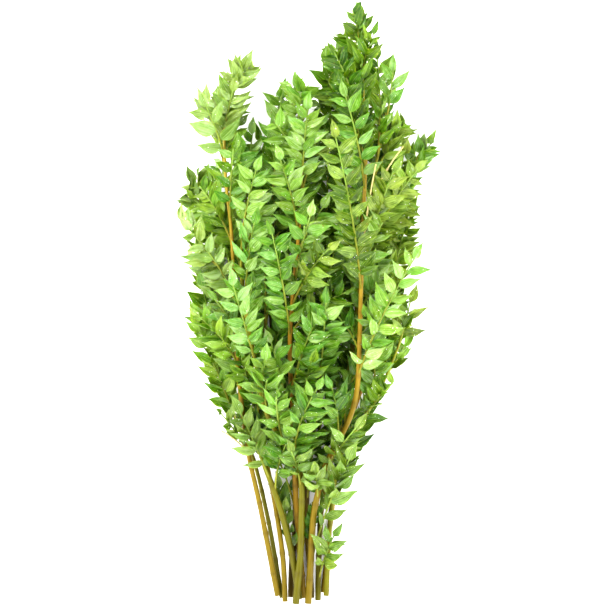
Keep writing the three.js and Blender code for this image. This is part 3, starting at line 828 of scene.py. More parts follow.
@dataclass(frozen=True)
class BladeFinish:
    """Ruscus blades preserved in glycerine.

    The bath swells the cells and leaves the waxy cuticle on, so a blade stays satin. Soft pale streaks and
    patches along it are painted sheen, laid into the colour over its real uneven mottling. The fine veins all
    run from root to tip. The underside is paler and less glossy, and old blades carry a few brown flecks.
    Small pale dots in the colour are painted glints.
    """

    name: str
    deep: str
    middle: str
    light: str
    rib: str = "#8aa048"
    underside: str = "#667c36"
    fleck: str = "#6a4f24"
    # Pale dots painted into the colour, standing in for glints of light: painted glints.
    painted_glint: str = "#eef2dc"
    vein_mm: float = 2.4        # real veins are about 0.6 mm apart, too fine to show
    streak_mm: float = 2.6      # width of the folds between veins, and of the painted sheen streaks along them
    streak_stretch: float = 0.09
    mottle_and_sheen_mm: float = 7.0      # size of the uneven patches that the bath leaves, lightened in part as painted sheen
    fleck_mm: float = 3.2
    painted_glint_mm: float = 1.7
    rib_width: float = 0.11     # share of half the blade
    rib_share: float = 0.3      # how much of its colour each mark has
    underside_share: float = 0.55
    fleck_share: float = 0.8
    painted_glint_share: float = 0.75
    fleck_range: Range = (0.74, 0.80)
    painted_glint_range: Range = (0.816, 0.84)
    sheen_streak_tone: float = 0.95   # how far each pattern moves the tone
    mottle_and_sheen_tone: float = 0.8
    vein_tone: float = 0.11
    middle_tone: float = 0.875
    hues: Range = (0.488, 0.514)
    relief_mm: float = 0.6
    roughness: float = 0.34
    ior: float = 1.47
    specular: float = 0.2
    coat: float = 0.16          # the waxy cuticle
    coat_roughness: float = 0.12
    subsurface: float = 0.3
    subsurface_mm: Point = (0.75, 1.0, 0.1)

    def make(self) -> Material:
        """Makes the material.

        Returns:
            The blade material. Its attributes hold millimetres (grain), the place on the blade (place) and
            each blade's own hue, shade and youth (tone).
        """
        material, shader, (grain, place, tone) = new_material(self.name, ("grain", "place", "tone"))
        tree = material.node_tree
        spot, own = (add_node(tree, "SeparateXYZ", (layer,)).node.outputs for layer in (place, tone))

        stretch = (1 / self.streak_mm, self.streak_stretch / self.streak_mm, 1.0)
        stretched = add_node(tree, "VectorMath", (grain, stretch), operation="MULTIPLY")
        fold_and_sheen_streak, mottle_and_sheen, flecks, glint_noise = (
            add_node(tree, "TexNoise", {"Vector": vector, "Scale": scale, "Detail": detail, "Roughness": rough}, "Fac")
            for vector, scale, detail, rough in (
                (stretched, 1.0, 3.0, 0.6), (grain, 1 / self.mottle_and_sheen_mm, 2.0, 0.5),
                (grain, 1 / self.fleck_mm, 1.0, 0.5), (grain, 1 / self.painted_glint_mm, 0.0, 0.5)))

        turns = add_node(tree, "Math", (spot["X"], LEAF_WIDTH / self.vein_mm * math.pi), operation="MULTIPLY")
        swell = add_node(tree, "Math", (turns,), operation="COSINE")
        away = add_node(tree, "Math", (spot["X"],), operation="ABSOLUTE")
        below = add_node(tree, "Math", (spot["Z"], 0.5), operation="GREATER_THAN")

        # Streaks and patches lift the colour towards the pale top stop: painted sheen over the real uneven mottling.
        # The veins add real pale lines.
        lift = own["Y"]
        for pattern, share in ((fold_and_sheen_streak, self.sheen_streak_tone), (mottle_and_sheen, self.mottle_and_sheen_tone), (swell, self.vein_tone)):
            lift = add_node(tree, "Math", (pattern, share, lift), operation="MULTIPLY_ADD")
        centred = add_node(tree, "Math", (lift, self.middle_tone), operation="SUBTRACT")
        body = add_node(tree, "ValToRGB", (centred,), "Color")
        set_stops(body.node.color_ramp, ((0.05, self.deep), (0.5, self.middle), (0.95, self.light)))
        hue = add_node(tree, "MapRange", {"Value": own["X"], "To Min": self.hues[0], "To Max": self.hues[1]})
        body = add_node(tree, "HueSaturation", {"Hue": hue, "Color": body})

        rib, marked, painted_glint_mask = (
            add_node(tree, "MapRange", {"Value": value, "From Min": ends[0], "From Max": ends[1],
                                        "To Min": shares[0], "To Max": shares[1]}, interpolation_type="SMOOTHSTEP")
            for value, ends, shares in ((away, (0.0, self.rib_width), (1.0, 0.0)),
                                        (flecks, self.fleck_range, (0.0, self.fleck_share)),
                                        (glint_noise, self.painted_glint_range, (0.0, self.painted_glint_share))))
        ribbed = add_node(tree, "Math", (rib, self.rib_share), operation="MULTIPLY")
        turned = add_node(tree, "Math", (below, self.underside_share), operation="MULTIPLY")
        # The last of these mixes lays the painted glints, pale dots in the colour.
        for share, tint in ((ribbed, self.rib), (turned, self.underside), (marked, self.fleck), (painted_glint_mask, self.painted_glint)):
            body = add_node(tree, "Mix", {0: share, 6: body, 7: colour(tint)}, 2, data_type="RGBA")

        matt = add_node(tree, "Math", (fold_and_sheen_streak, 0.22, self.roughness - 0.1), operation="MULTIPLY_ADD")
        dull = add_node(tree, "Math", (below, 0.16, matt), operation="MULTIPLY_ADD")
        folds = add_node(tree, "Math", (swell, 0.12, fold_and_sheen_streak), operation="MULTIPLY_ADD")
        groove = add_node(tree, "Math", (rib, -0.35, folds), operation="MULTIPLY_ADD")
        relief = add_node(tree, "Bump", {"Strength": 1.0, "Distance": self.relief_mm * MM, "Height": groove})
        feed(tree, shader, {"Base Color": body, "Roughness": dull, "Normal": relief, "IOR": self.ior,
                            "Specular IOR Level": self.specular, "Coat Weight": self.coat,
                            "Coat Roughness": self.coat_roughness, "Subsurface Weight": self.subsurface,
                            "Subsurface Radius": self.subsurface_mm, "Subsurface Scale": MM})
        return material


@dataclass(frozen=True)
class BarkFinish:
    """The thin bark of a ruscus stem or twig, bathed in glycerine.

    It is smooth and satin, with fine ridges along it, and turns from brown or olive wood at the cut end to
    ochre and green skin at the top. A dark ring and a scar mark each joint. The cut shows pale pith.
    """

    name: str
    stops: tuple[str, str, str, str]
    joint: str = "#3c3010"
    cut: str = "#a09458"
    ridge_mm: float = 0.9       # real ridges are about 0.3 mm apart, too fine to show
    ridge_stretch: float = 0.025
    patch_mm: float = 9.0
    ridge_tone: float = 0.45    # how far each pattern moves the tone
    patch_tone: float = 0.35
    middle_tone: float = 0.4
    joint_share: float = 0.35
    relief_mm: float = 0.25
    roughness: float = 0.42
    ior: float = 1.45
    specular: float = 0.2

    def make(self) -> Material:
        """Makes the material.

        Returns:
            The bark material. Its attributes hold millimetres (grain) and, in place, the share along the
            rod, how near a joint is, and whether this is a cut face.
        """
        material, shader, (grain, place) = new_material(self.name, ("grain", "place"))
        tree = material.node_tree
        spot = add_node(tree, "SeparateXYZ", (place,)).node.outputs
        stretch = (1 / self.ridge_mm, 1 / self.ridge_mm, self.ridge_stretch / self.ridge_mm)
        stretched = add_node(tree, "VectorMath", (grain, stretch), operation="MULTIPLY")
        ridges = add_node(tree, "TexNoise", {"Vector": stretched, "Scale": 1.0, "Detail": 3.0}, "Fac")
        patches = add_node(tree, "TexNoise", {"Vector": grain, "Scale": 1 / self.patch_mm, "Detail": 2.0}, "Fac")
        shifted = add_node(tree, "Math", (ridges, self.ridge_tone, spot["X"]), operation="MULTIPLY_ADD")
        patched = add_node(tree, "Math", (patches, self.patch_tone, shifted), operation="MULTIPLY_ADD")
        centred = add_node(tree, "Math", (patched, self.middle_tone), operation="SUBTRACT")
        body = add_node(tree, "ValToRGB", (centred,), "Color")
        set_stops(body.node.color_ramp, ((step / 3, hex_code) for step, hex_code in enumerate(self.stops)))
        ringed = add_node(tree, "Math", (spot["Y"], self.joint_share), operation="MULTIPLY")
        for share, tint in ((ringed, self.joint), (spot["Z"], self.cut)):
            body = add_node(tree, "Mix", {0: share, 6: body, 7: colour(tint)}, 2, data_type="RGBA")
        matt = add_node(tree, "Math", (ridges, 0.2, self.roughness - 0.1), operation="MULTIPLY_ADD")
        relief = add_node(tree, "Bump", {"Strength": 0.6, "Distance": self.relief_mm * MM, "Height": ridges})
        feed(tree, shader, {"Base Color": body, "Roughness": matt, "Normal": relief, "IOR": self.ior,
                            "Specular IOR Level": self.specular})
        return material


BLADES = {
    Green.LEAF: BladeFinish("preserved_blade_green", "#294800", "#4c7411", "#789754"),
    Green.LIGHT: BladeFinish("preserved_blade_light", "#3e6008", "#618626", "#87a064"),
    Green.DEEP: BladeFinish("preserved_blade_deep", "#254100", "#456604", "#708f2a"),
    Green.GREY: BladeFinish("preserved_blade_greyed", "#46600f", "#6a8336", "#869b5e"),
    Green.LIME: BladeFinish("preserved_blade_lime", "#2a4000", "#405800", "#728830"),
}
BARKS = {
    Wood.OCHRE: BarkFinish("stem_bark_ochre", ("#5a4c06", "#6e5c0e", "#8e7422", "#887a28")),
    Wood.OLIVE: BarkFinish("stem_bark_olive", ("#4a4602", "#585606", "#64640c", "#6b6e14")),
    Wood.ORANGE: BarkFinish("stem_bark_orange", ("#5c4c08", "#7a5e14", "#92701e", "#8a7224")),
    Wood.DARK: BarkFinish("stem_bark_dark", ("#3e3202", "#463a04", "#4e4608", "#56520e")),
    Wood.STRAW: BarkFinish("stem_bark_straw", ("#545004", "#62620a", "#6e7014", "#7a7e22")),
}
BARE_BARK = BarkFinish("twig_skin_dry", ("#a08f54", "#b7a76c", "#c4b67e", "#b4a566"), joint="#6e5a2c",
                       ridge_mm=0.6)
TWIG_BARK = BarkFinish("twig_skin_green", ("#756c1a", "#727e26", "#708a34", "#74943e"), joint="#54400f",
                       ridge_mm=0.6, roughness=0.45)


class Mould:
    """Gathers closed shells, in millimetres, into the mesh of one piece."""

    def __init__(self) -> None:
        """Starts empty."""
        self.points: list[Array] = []
        self.faces: list[list[int]] = []
        self.slots: list[int] = []
        self.layers: dict[str, list[Array]] = {"grain": [], "place": [], "tone": []}
        self.rims: list[Array] = []
        self.count = 0

    def add(self, points: Array, faces: Sequence[Sequence[int]], slot: int, rim: Array,
            grain: Array, place: Array, tone: Sequence[float] = (0.5, 0.5, 0.0)) -> None:
        """Adds one closed shell.

        Args:
            points: Its vertices.
            faces: Its faces, by vertex.
            slot: The material slot of its faces.
            rim: Which vertices stand on a sharp edge.
            grain: Millimetre coordinates for the patterns, one row for each vertex.
            place: Where each vertex is on the leaf or rod.
            tone: The hue, shade and youth of the whole shell.
        """
        self.faces.extend([index + self.count for index in face] for face in faces)
        self.slots.extend([slot] * len(faces))
        self.points.append(points)
        self.rims.append(rim)
        self.layers["grain"].append(grain)
        self.layers["place"].append(place)
        self.layers["tone"].append(np.tile(tone, (len(points), 1)))
        self.count += len(points)

    def cast(self, name: str, materials: Sequence[Material]) -> Piece:
        """Makes the object, in metres.

        Args:
            name: The piece's name.
            materials: One material for each slot.

        Returns:
            The piece.
        """
        mesh = bpy.data.meshes.new(name)
        points = np.vstack(self.points) * MM
        mesh.from_pydata(points.tolist(), [], self.faces)
        mesh.polygons.foreach_set("material_index", self.slots)
        mesh.polygons.foreach_set("use_smooth", [True] * len(self.faces))
        rims = np.concatenate(self.rims)
        ends = np.empty(len(mesh.edges) * 2, np.int32)
        mesh.edges.foreach_get("vertices", ends)
        mesh.edges.foreach_set("use_edge_sharp", rims[ends.reshape(-1, 2)].all(axis=1))
        for layer, rows in self.layers.items():
            attribute = mesh.attributes.new(layer, "FLOAT_VECTOR", "POINT")
            attribute.data.foreach_set("vector", np.vstack(rows).astype(np.float32).ravel())
        for material in materials:
            mesh.materials.append(material)
        mesh.update()
        piece = bpy.data.objects.new(name, mesh)
        bpy.context.scene.collection.objects.link(piece)
        return piece


@dataclass
class BladeMould:
    """The shape shared by all blades: how wide and thick one is at each share of its length and width.

    The ranges are what each blade draws its own shape from. Angles are degrees, and heights millimetres.
    """

    marks: tuple[float, ...] = (0.04, 0.1, 0.19, 0.3, 0.42, 0.55, 0.67, 0.78, 0.88, 0.95)
    widths: tuple[float, ...] = (0.12, 0.4, 0.78, 0.99, 1.0, 0.86, 0.62, 0.36, 0.17, 0.08)
    columns: tuple[float, ...] = (-1.0, -0.64, -0.3, 0.0, 0.3, 0.64, 1.0)
    thickness: float = 0.7
    rib_depth: float = 0.35
    rib_width: float = 0.25
    groove: float = 0.25
    folds: Range = (6, 40)
    unfolding: float = 0.35
    twists: Range = (-52, 52)
    twist_centre: float = 0.25
    curls: Range = (-0.9, 1.0)
    curl_start: float = 0.6
    wave_heights: Range = (0.5, 2.1)
    wave_counts: Range = (0.9, 1.9)
    phases: Range = (0, 2 * math.pi)
    wave_lag: float = 0.9
    sickles: Range = (-0.24, 0.24)
    hooks: Range = (-0.5, 0.5)
    hook_start: float = 0.68
    lowest: float = 0.3
    pattern_shift: Range = (0, 900)
    shade_spread: Range = (-0.24, 0.24)

    def __post_init__(self) -> None:
        """Works out the faces and the place of each vertex once for all blades."""
        rows, width = len(self.marks), len(self.columns)
        inner = width - 2
        tip = 1 + rows * width + rows * inner

        def top(row: int, column: int) -> int:
            """Returns the upper vertex at a row and column."""
            return 1 + row * width + column

        def bottom(row: int, column: int) -> int:
            """Returns the lower vertex at a row and column, which is the upper one on the rim."""
            return top(row, column) if column in (0, width - 1) else 1 + rows * width + row * inner + column - 1

        faces: list[tuple[int, ...]] = []
        for column in range(width - 1):
            after = column + 1
            faces.append((0, top(0, after), top(0, column)))
            faces.append((0, bottom(0, column), bottom(0, after)))
            faces.append((top(rows - 1, column), top(rows - 1, after), tip))
            faces.append((bottom(rows - 1, after), bottom(rows - 1, column), tip))
            for row in range(rows - 1):
                faces.append((top(row, column), top(row, after), top(row + 1, after), top(row + 1, column)))
                faces.append((bottom(row, after), bottom(row, column), bottom(row + 1, column),
                              bottom(row + 1, after)))
        self.faces = faces
        columns = np.array(self.columns)
        full_u, full_v = np.meshgrid(self.marks, columns, indexing="ij")
        inner_u, inner_v = np.meshgrid(self.marks, columns[1:-1], indexing="ij")
        self.along = np.concatenate([[0], full_u.ravel(), inner_u.ravel(), [1]])
        self.across = np.concatenate([[0], full_v.ravel(), inner_v.ravel(), [0]])
        self.under = np.concatenate([[0.5], np.where(np.abs(full_v) == 1, 0.5, 0).ravel(),
                                     np.ones(inner_v.size), [0.5]])
        self.rim = self.under == 0.5
        self.half = np.interp(self.along, (0, *self.marks, 1), (0, *self.widths, 0))

    def press(self, mould: Mould, leaf: Leaf, stream: RandomStream, shade: float, youth: float) -> None:
        """Adds one blade to a piece.

        Args:
            mould: The piece's mould.
            leaf: Where the blade stands.
            stream: The numbers for the blade's own folds.
            shade: How light the blade's spray is.
            youth: 1 for the small blades at a tip, 0 for the rest.
        """
        along, across = self.along, self.across
        fold, twist, curl, wave, waves, phase, sickle, hook = (stream.between(*ends) for ends in (
            self.folds, self.twists, self.curls, self.wave_heights, self.wave_counts, self.phases, self.sickles,
            self.hooks))
        fold, twist = DEGREE * fold, DEGREE * twist
        half = self.half * leaf.width / 2
        offset = across * half * math.cos(fold)
        height = np.abs(across) * half * math.sin(fold) * (1 - self.unfolding * along)
        ripple = np.sin(2 * math.pi * waves * along + phase + self.wave_lag * np.sign(across))
        height += wave * ripple * across**2 * self.half
        shell = self.thickness / 2 * np.sqrt(np.clip(1 - across**2, 0, 1)) * np.sqrt(self.half)
        ribbed = np.clip(1 - np.abs(across) / self.rib_width, 0, 1) * np.sqrt(self.half)
        upper = shell - self.groove * ribbed
        lower = -shell - self.rib_depth * ribbed * (1 - along)
        height += np.where(self.rim, 0, np.where(self.under == 0, upper, lower))
        turn = twist * (along - self.twist_centre)
        offset, height = (offset * np.cos(turn) - height * np.sin(turn),
                          offset * np.sin(turn) + height * np.cos(turn))
        hooked, curled = (np.clip(along - start, 0, 1) ** 2 for start in (self.hook_start, self.curl_start))
        offset += leaf.length * (sickle * along * (1 - along) + hook * hooked)
        height += leaf.length * (leaf.bend * along**2 + curl * curled)
        points = (leaf.base + np.outer(along * leaf.length, leaf.direction) + np.outer(offset, leaf.side)
                  + np.outer(height, leaf.normal))
        points[:, 2] = np.maximum(points[:, 2], self.lowest)
        number = stream.between(*self.pattern_shift)
        grain = np.column_stack([across * half, along * leaf.length, np.full(len(along), number)])
        place = np.column_stack([across, along, self.under])
        tone = (stream.draw(), np.clip(shade + stream.between(*self.shade_spread), 0, 1), youth)
        mould.add(points, self.faces, 1, self.rim, grain, place, tone)


@dataclass
class RodMould:
    """Turns rods into round, jointed stems or twigs."""

    sides: int
    step: float                             # the longest stretch between two rings
    swelling: float                         # how much thicker a joint is, as a share
    swelling_length: float
    scar_shift: float = 0.6                 # where the ring past a joint stands, as a share of its length
    slot: int = 0

    def press(self, mould: Mould, rod: Rod, joints: Sequence[float], phase: float, cut: bool) -> None:
        """Adds one rod to a piece.

        Args:
            mould: The piece's mould.
            rod: The rod's rings.
            joints: How far along the rod each joint stands.
            phase: Where the rod's pattern starts, in millimetres.
            cut: Whether the rod's start is a cut face that shows.
        """
        count = max(2, math.ceil(rod.length / self.step))
        travels = np.linspace(0, rod.length, count + 1)
        if joints:
            scars = np.array(joints) + self.swelling_length * self.scar_shift
            travels = np.unique(np.concatenate([travels, joints, scars]))
            travels = travels[(travels >= 0) & (travels <= rod.length)]
        centres, directions = self.smooth(rod, travels)
        radii = np.interp(travels, rod.travels, rod.radii)
        near = np.zeros(len(travels))
        for joint in joints:
            near = np.maximum(near, np.exp(-(((travels - joint) / self.swelling_length) ** 2)))
        radii = radii * (1 + self.swelling * near)
        around = circle(self.sides)
        rings = hoops(centres, directions, radii, around)
        rings[..., 2] = np.maximum(rings[..., 2], 0.0)
        rows, sides = len(travels), self.sides
        points = np.vstack([rings.reshape(-1, 3), rings[0], centres[:1], centres[-1:] + directions[-1:] * radii[-1]])
        start, first, last = rows * sides, (rows + 1) * sides, (rows + 1) * sides + 1
        faces: list[tuple[int, ...]] = []
        for side in range(sides):
            after = (side + 1) % sides
            for row in range(rows - 1):
                faces.append((row * sides + side, (row + 1) * sides + side, (row + 1) * sides + after,
                              row * sides + after))
            faces.append((start + side, start + after, first))
            faces.append(((rows - 1) * sides + side, last, (rows - 1) * sides + after))
            faces.append((side, after, start + after, start + side))
        lengths = np.broadcast_to((travels + phase)[:, None, None], (rows, sides, 1))
        grain = np.concatenate([
            np.concatenate([around[None] * radii[:, None, None], lengths], axis=2).reshape(-1, 3),
            np.column_stack([around * radii[0], np.full(sides, phase)]),
            [[0, 0, phase], [0, 0, rod.length + phase]]])
        place = np.concatenate([
            np.column_stack([np.repeat(travels / rod.length, sides), np.repeat(near, sides), np.zeros(rows * sides)]),
            np.tile([0.0, 0.0, float(cut)], (sides + 1, 1)),
            [[1, 0, 0]]])
        rim = np.zeros(len(points), bool)
        rim[:sides] = cut
        rim[start:first] = cut
        mould.add(points, faces, self.slot, rim, grain, place)

    @staticmethod
    def smooth(rod: Rod, travels: Array) -> tuple[Array, Array]:
        """Reads the rod between its rings along a smooth curve.

        Args:
            rod: The rod's rings.
            travels: Distances along the rod.

        Returns:
            The middle and the direction at each distance.
        """
        after, share = rod.locate(travels)
        share, span = share[:, None], (rod.travels[after] - rod.travels[after - 1])[:, None]
        here, there = rod.centres[after - 1], rod.centres[after]
        leave, arrive = rod.directions[after - 1] * span, rod.directions[after] * span
        square, cube = share**2, share**3
        centres = ((2 * cube - 3 * square + 1) * here + (cube - 2 * square + share) * leave
                   + (3 * square - 2 * cube) * there + (cube - square) * arrive)
        slopes = ((6 * square - 6 * share) * here + (3 * square - 4 * share + 1) * leave
                  + (6 * share - 6 * square) * there + (3 * square - 2 * share) * arrive)
        return centres, unit(slopes)


STEM_MOULD = RodMould(sides=16, step=6.0, swelling=0.16, swelling_length=2.2)
TWIG_MOULD = RodMould(sides=7, step=5.0, swelling=0.3, swelling_length=1.1)
BLADE_MOULD = BladeMould()


@dataclass(frozen=True)
class Edge:
    """The edge of the foliage seen from above: its corners in order, from the foot up the right side."""

    corners: tuple[Range, ...]

    def holds(self, points: Array) -> Array:
        """Tests points against the edge.

        Args:
            points: The points, one row each.

        Returns:
            Which of them are inside.
        """
        here = np.array(self.corners, float)
        ahead = np.roll(here, -1, axis=0)
        x, y = points[:, :1], points[:, 1:2]
        rise = np.where(ahead[:, 1] == here[:, 1], 1.0, ahead[:, 1] - here[:, 1])
        crossing = here[:, 0] + (y - here[:, 1]) * (ahead[:, 0] - here[:, 0]) / rise
        passed = ((here[:, 1] > y) != (ahead[:, 1] > y)) & (x < crossing)
        return passed.sum(axis=1) % 2 == 1


@dataclass(frozen=True)
class Window:
    """A stretch of a stem that stays in sight: the stem, and where along the bunch the stretch starts and ends."""

    stem: int
    start: float
    end: float
    margin: float = 0.6
    height: float = 70.0

    def points(self) -> Array:
        """Fills the room above the stretch.

        Returns:
            Its points, one row each.
        """
        rod = STEMS[self.stem - 1].rod
        travels = np.arange(rod.travel_at(self.start), rod.travel_at(self.end), ROD_STEP)
        middles = np.array([rod.place(travel)[0] for travel in travels])
        reach = float(np.interp(travels[0], rod.travels, rod.radii)) + self.margin
        aside = np.linspace(-reach, reach, 2 * math.ceil(reach / CELL) + 1)
        above = np.arange(CELL, self.height, CELL)
        sides, levels = (grid.ravel() for grid in np.meshgrid(aside, above))
        offsets = np.column_stack([sides, np.zeros_like(sides), levels])
        return (middles[:, None] + offsets).reshape(-1, 3)


# The room above these stretches is claimed for nobody, so that no second leaf hides them.
WINDOWS = (Window(1, 80, 200), Window(7, -90, 100), Window(8, -150, 30), Window(8, 110, 238))
IN_SIGHT = 65535

# Sprays that close the open places between the main ones, such as the dense spire and the foot. Only the
# strays grow past the edge of the foliage.
FILLERS = (
    Spray("spire", 8, 196, (31, 298, 58), Green.DEEP, scale=0.85),
    Spray("spire", 8, 312, (50, 359, 74), Green.DEEP, 4, 0.8, 0.7, "top"),
    Spray("spire", 8, 305, (66, 356, 50), Green.DEEP, 4, 0.8, 0.7, "top"),
    Spray("spire", 8, 280, (36, 330, 58), Green.DEEP, 6, 0.9, 0.75, "top"),
    Spray("spire", 8, 276, (80, 326, 74), Green.DEEP, 6, 0.9, 0.75, "top"),
    Spray("spire", 9, 262, (12, 302, 38), Green.DEEP, 6, 0.9, 0.8, "top"),
    Spray("spire", 9, 236, (-2, 280, 40), Green.DEEP, 6, 0.9, 0.8, "top"),
    Spray("spire", 8, 176, (20, 274, 66), Green.DEEP, scale=0.85),
    Spray("spire", 8, 160, (40, 262, 100), Green.DEEP, scale=0.9),
    Spray("crown", 7, 232, (-28, 281, 62), Green.LIGHT, 6, 0.9, 0.85, "top"),
    Spray("crown", 7, 226, (-4, 276, 72), Green.LIGHT, 6, 0.9, 0.85, "top"),
    Spray("crown", 4, 214, (-36, 262, 44), Green.LEAF, 6, 0.9, 0.85, "top"),
    Spray("plume", 1, 196, (-102, 264, 56), Green.GREY, scale=0.9),
    Spray("plume", 1, 254, (-94, 296, 60), Green.GREY, 4, 1.1, 0.8, "top"),
    Spray("plume", 1, 258, (-60, 292, 66), Green.GREY, 4, 1.15, 0.9, "top"),
    Spray("plume", 1, 214, (-134, 250, 72), Green.GREY, 4, 0.9, 0.9, "left_tip"),
    Spray("brim", 2, 120, (-156, 138, 24), Green.GREY, 5, 0.95, 0.8, "top"),
    Spray("brim", 2, 132, (-136, 168, 18), Green.GREY, 5, 0.9, 0.8, "top"),
    Spray("brim", 1, 74, (-160, 106, 50), Green.GREY, 5, 0.95, 0.8, "outer"),
    Spray("brim", 1, 44, (-158, 70, 44), Green.GREY, 5, 0.95, 0.8, "outer"),
    Spray("brim", 11, 172, (156, 200, 30), Green.LIGHT, 4, 0.95, 0.8, "top"),
    Spray("brim", 11, 150, (144, 172, 34), Green.LIGHT, 5, 0.95, 0.8, "top"),
    Spray("foot", 1, -186, (-102, -136, 52), Green.GREY, scale=0.85),
    Spray("foot", 3, -200, (-66, -116, 50), Green.GREY),
    Spray("foot", 4, -232, (-30, -150, 58), Green.LEAF),
    Spray("foot", 5, -250, (-44, -158, 18), Green.DEEP),
    Spray("foot", 5, -200, (-14, -110, 22), Green.DEEP),
    Spray("foot", 7, -215, (6, -140, 80), Green.LEAF),
    Spray("foot", 9, -240, (14, -142, 34), Green.DEEP),
    Spray("foot", 11, -250, (56, -158, 22), Green.DEEP),
    Spray("stray", 10, -338, (31, -278, 36), Green.GREY, 30),
    Spray("stray", 5, -306, (-27, -212, 20), Green.GREY, 14, 0.8, 0.5),
    Spray("stray", 9, -296, (4, -238, 20), Green.LEAF, 12, 0.8, 0.5),
)

# Twigs that have lost their leaves.
BARE_TWIGS = (
    Spray("bare", 8, 62, (79, 164, 116), Green.LIGHT),
    Spray("bare", 1, -184, (-110, -151, 58), Green.LIGHT),
    Spray("bare", 10, 120, (112, 186, 92), Green.LIGHT),
)


@dataclass(frozen=True)
class Round:
    """One round of side sprays: how many are tried, how high their tips may be, and their tone.

    Without a tone each takes that of the nearest main spray. With a margin they cover places where the
    surface shows, at least that many cells from what hides it, and without one they go anywhere.
    """

    tries: int
    highest: float
    green: Green | None = None
    margin: int | None = None


@dataclass(frozen=True)
class Habit:
    """How side sprays grow. One is kept with enough leaves: by number and by their share of its places."""

    lengths: Range
    slants: Range                           # degrees between the stem and the spray
    bare: float
    fewest: int
    least_share: float


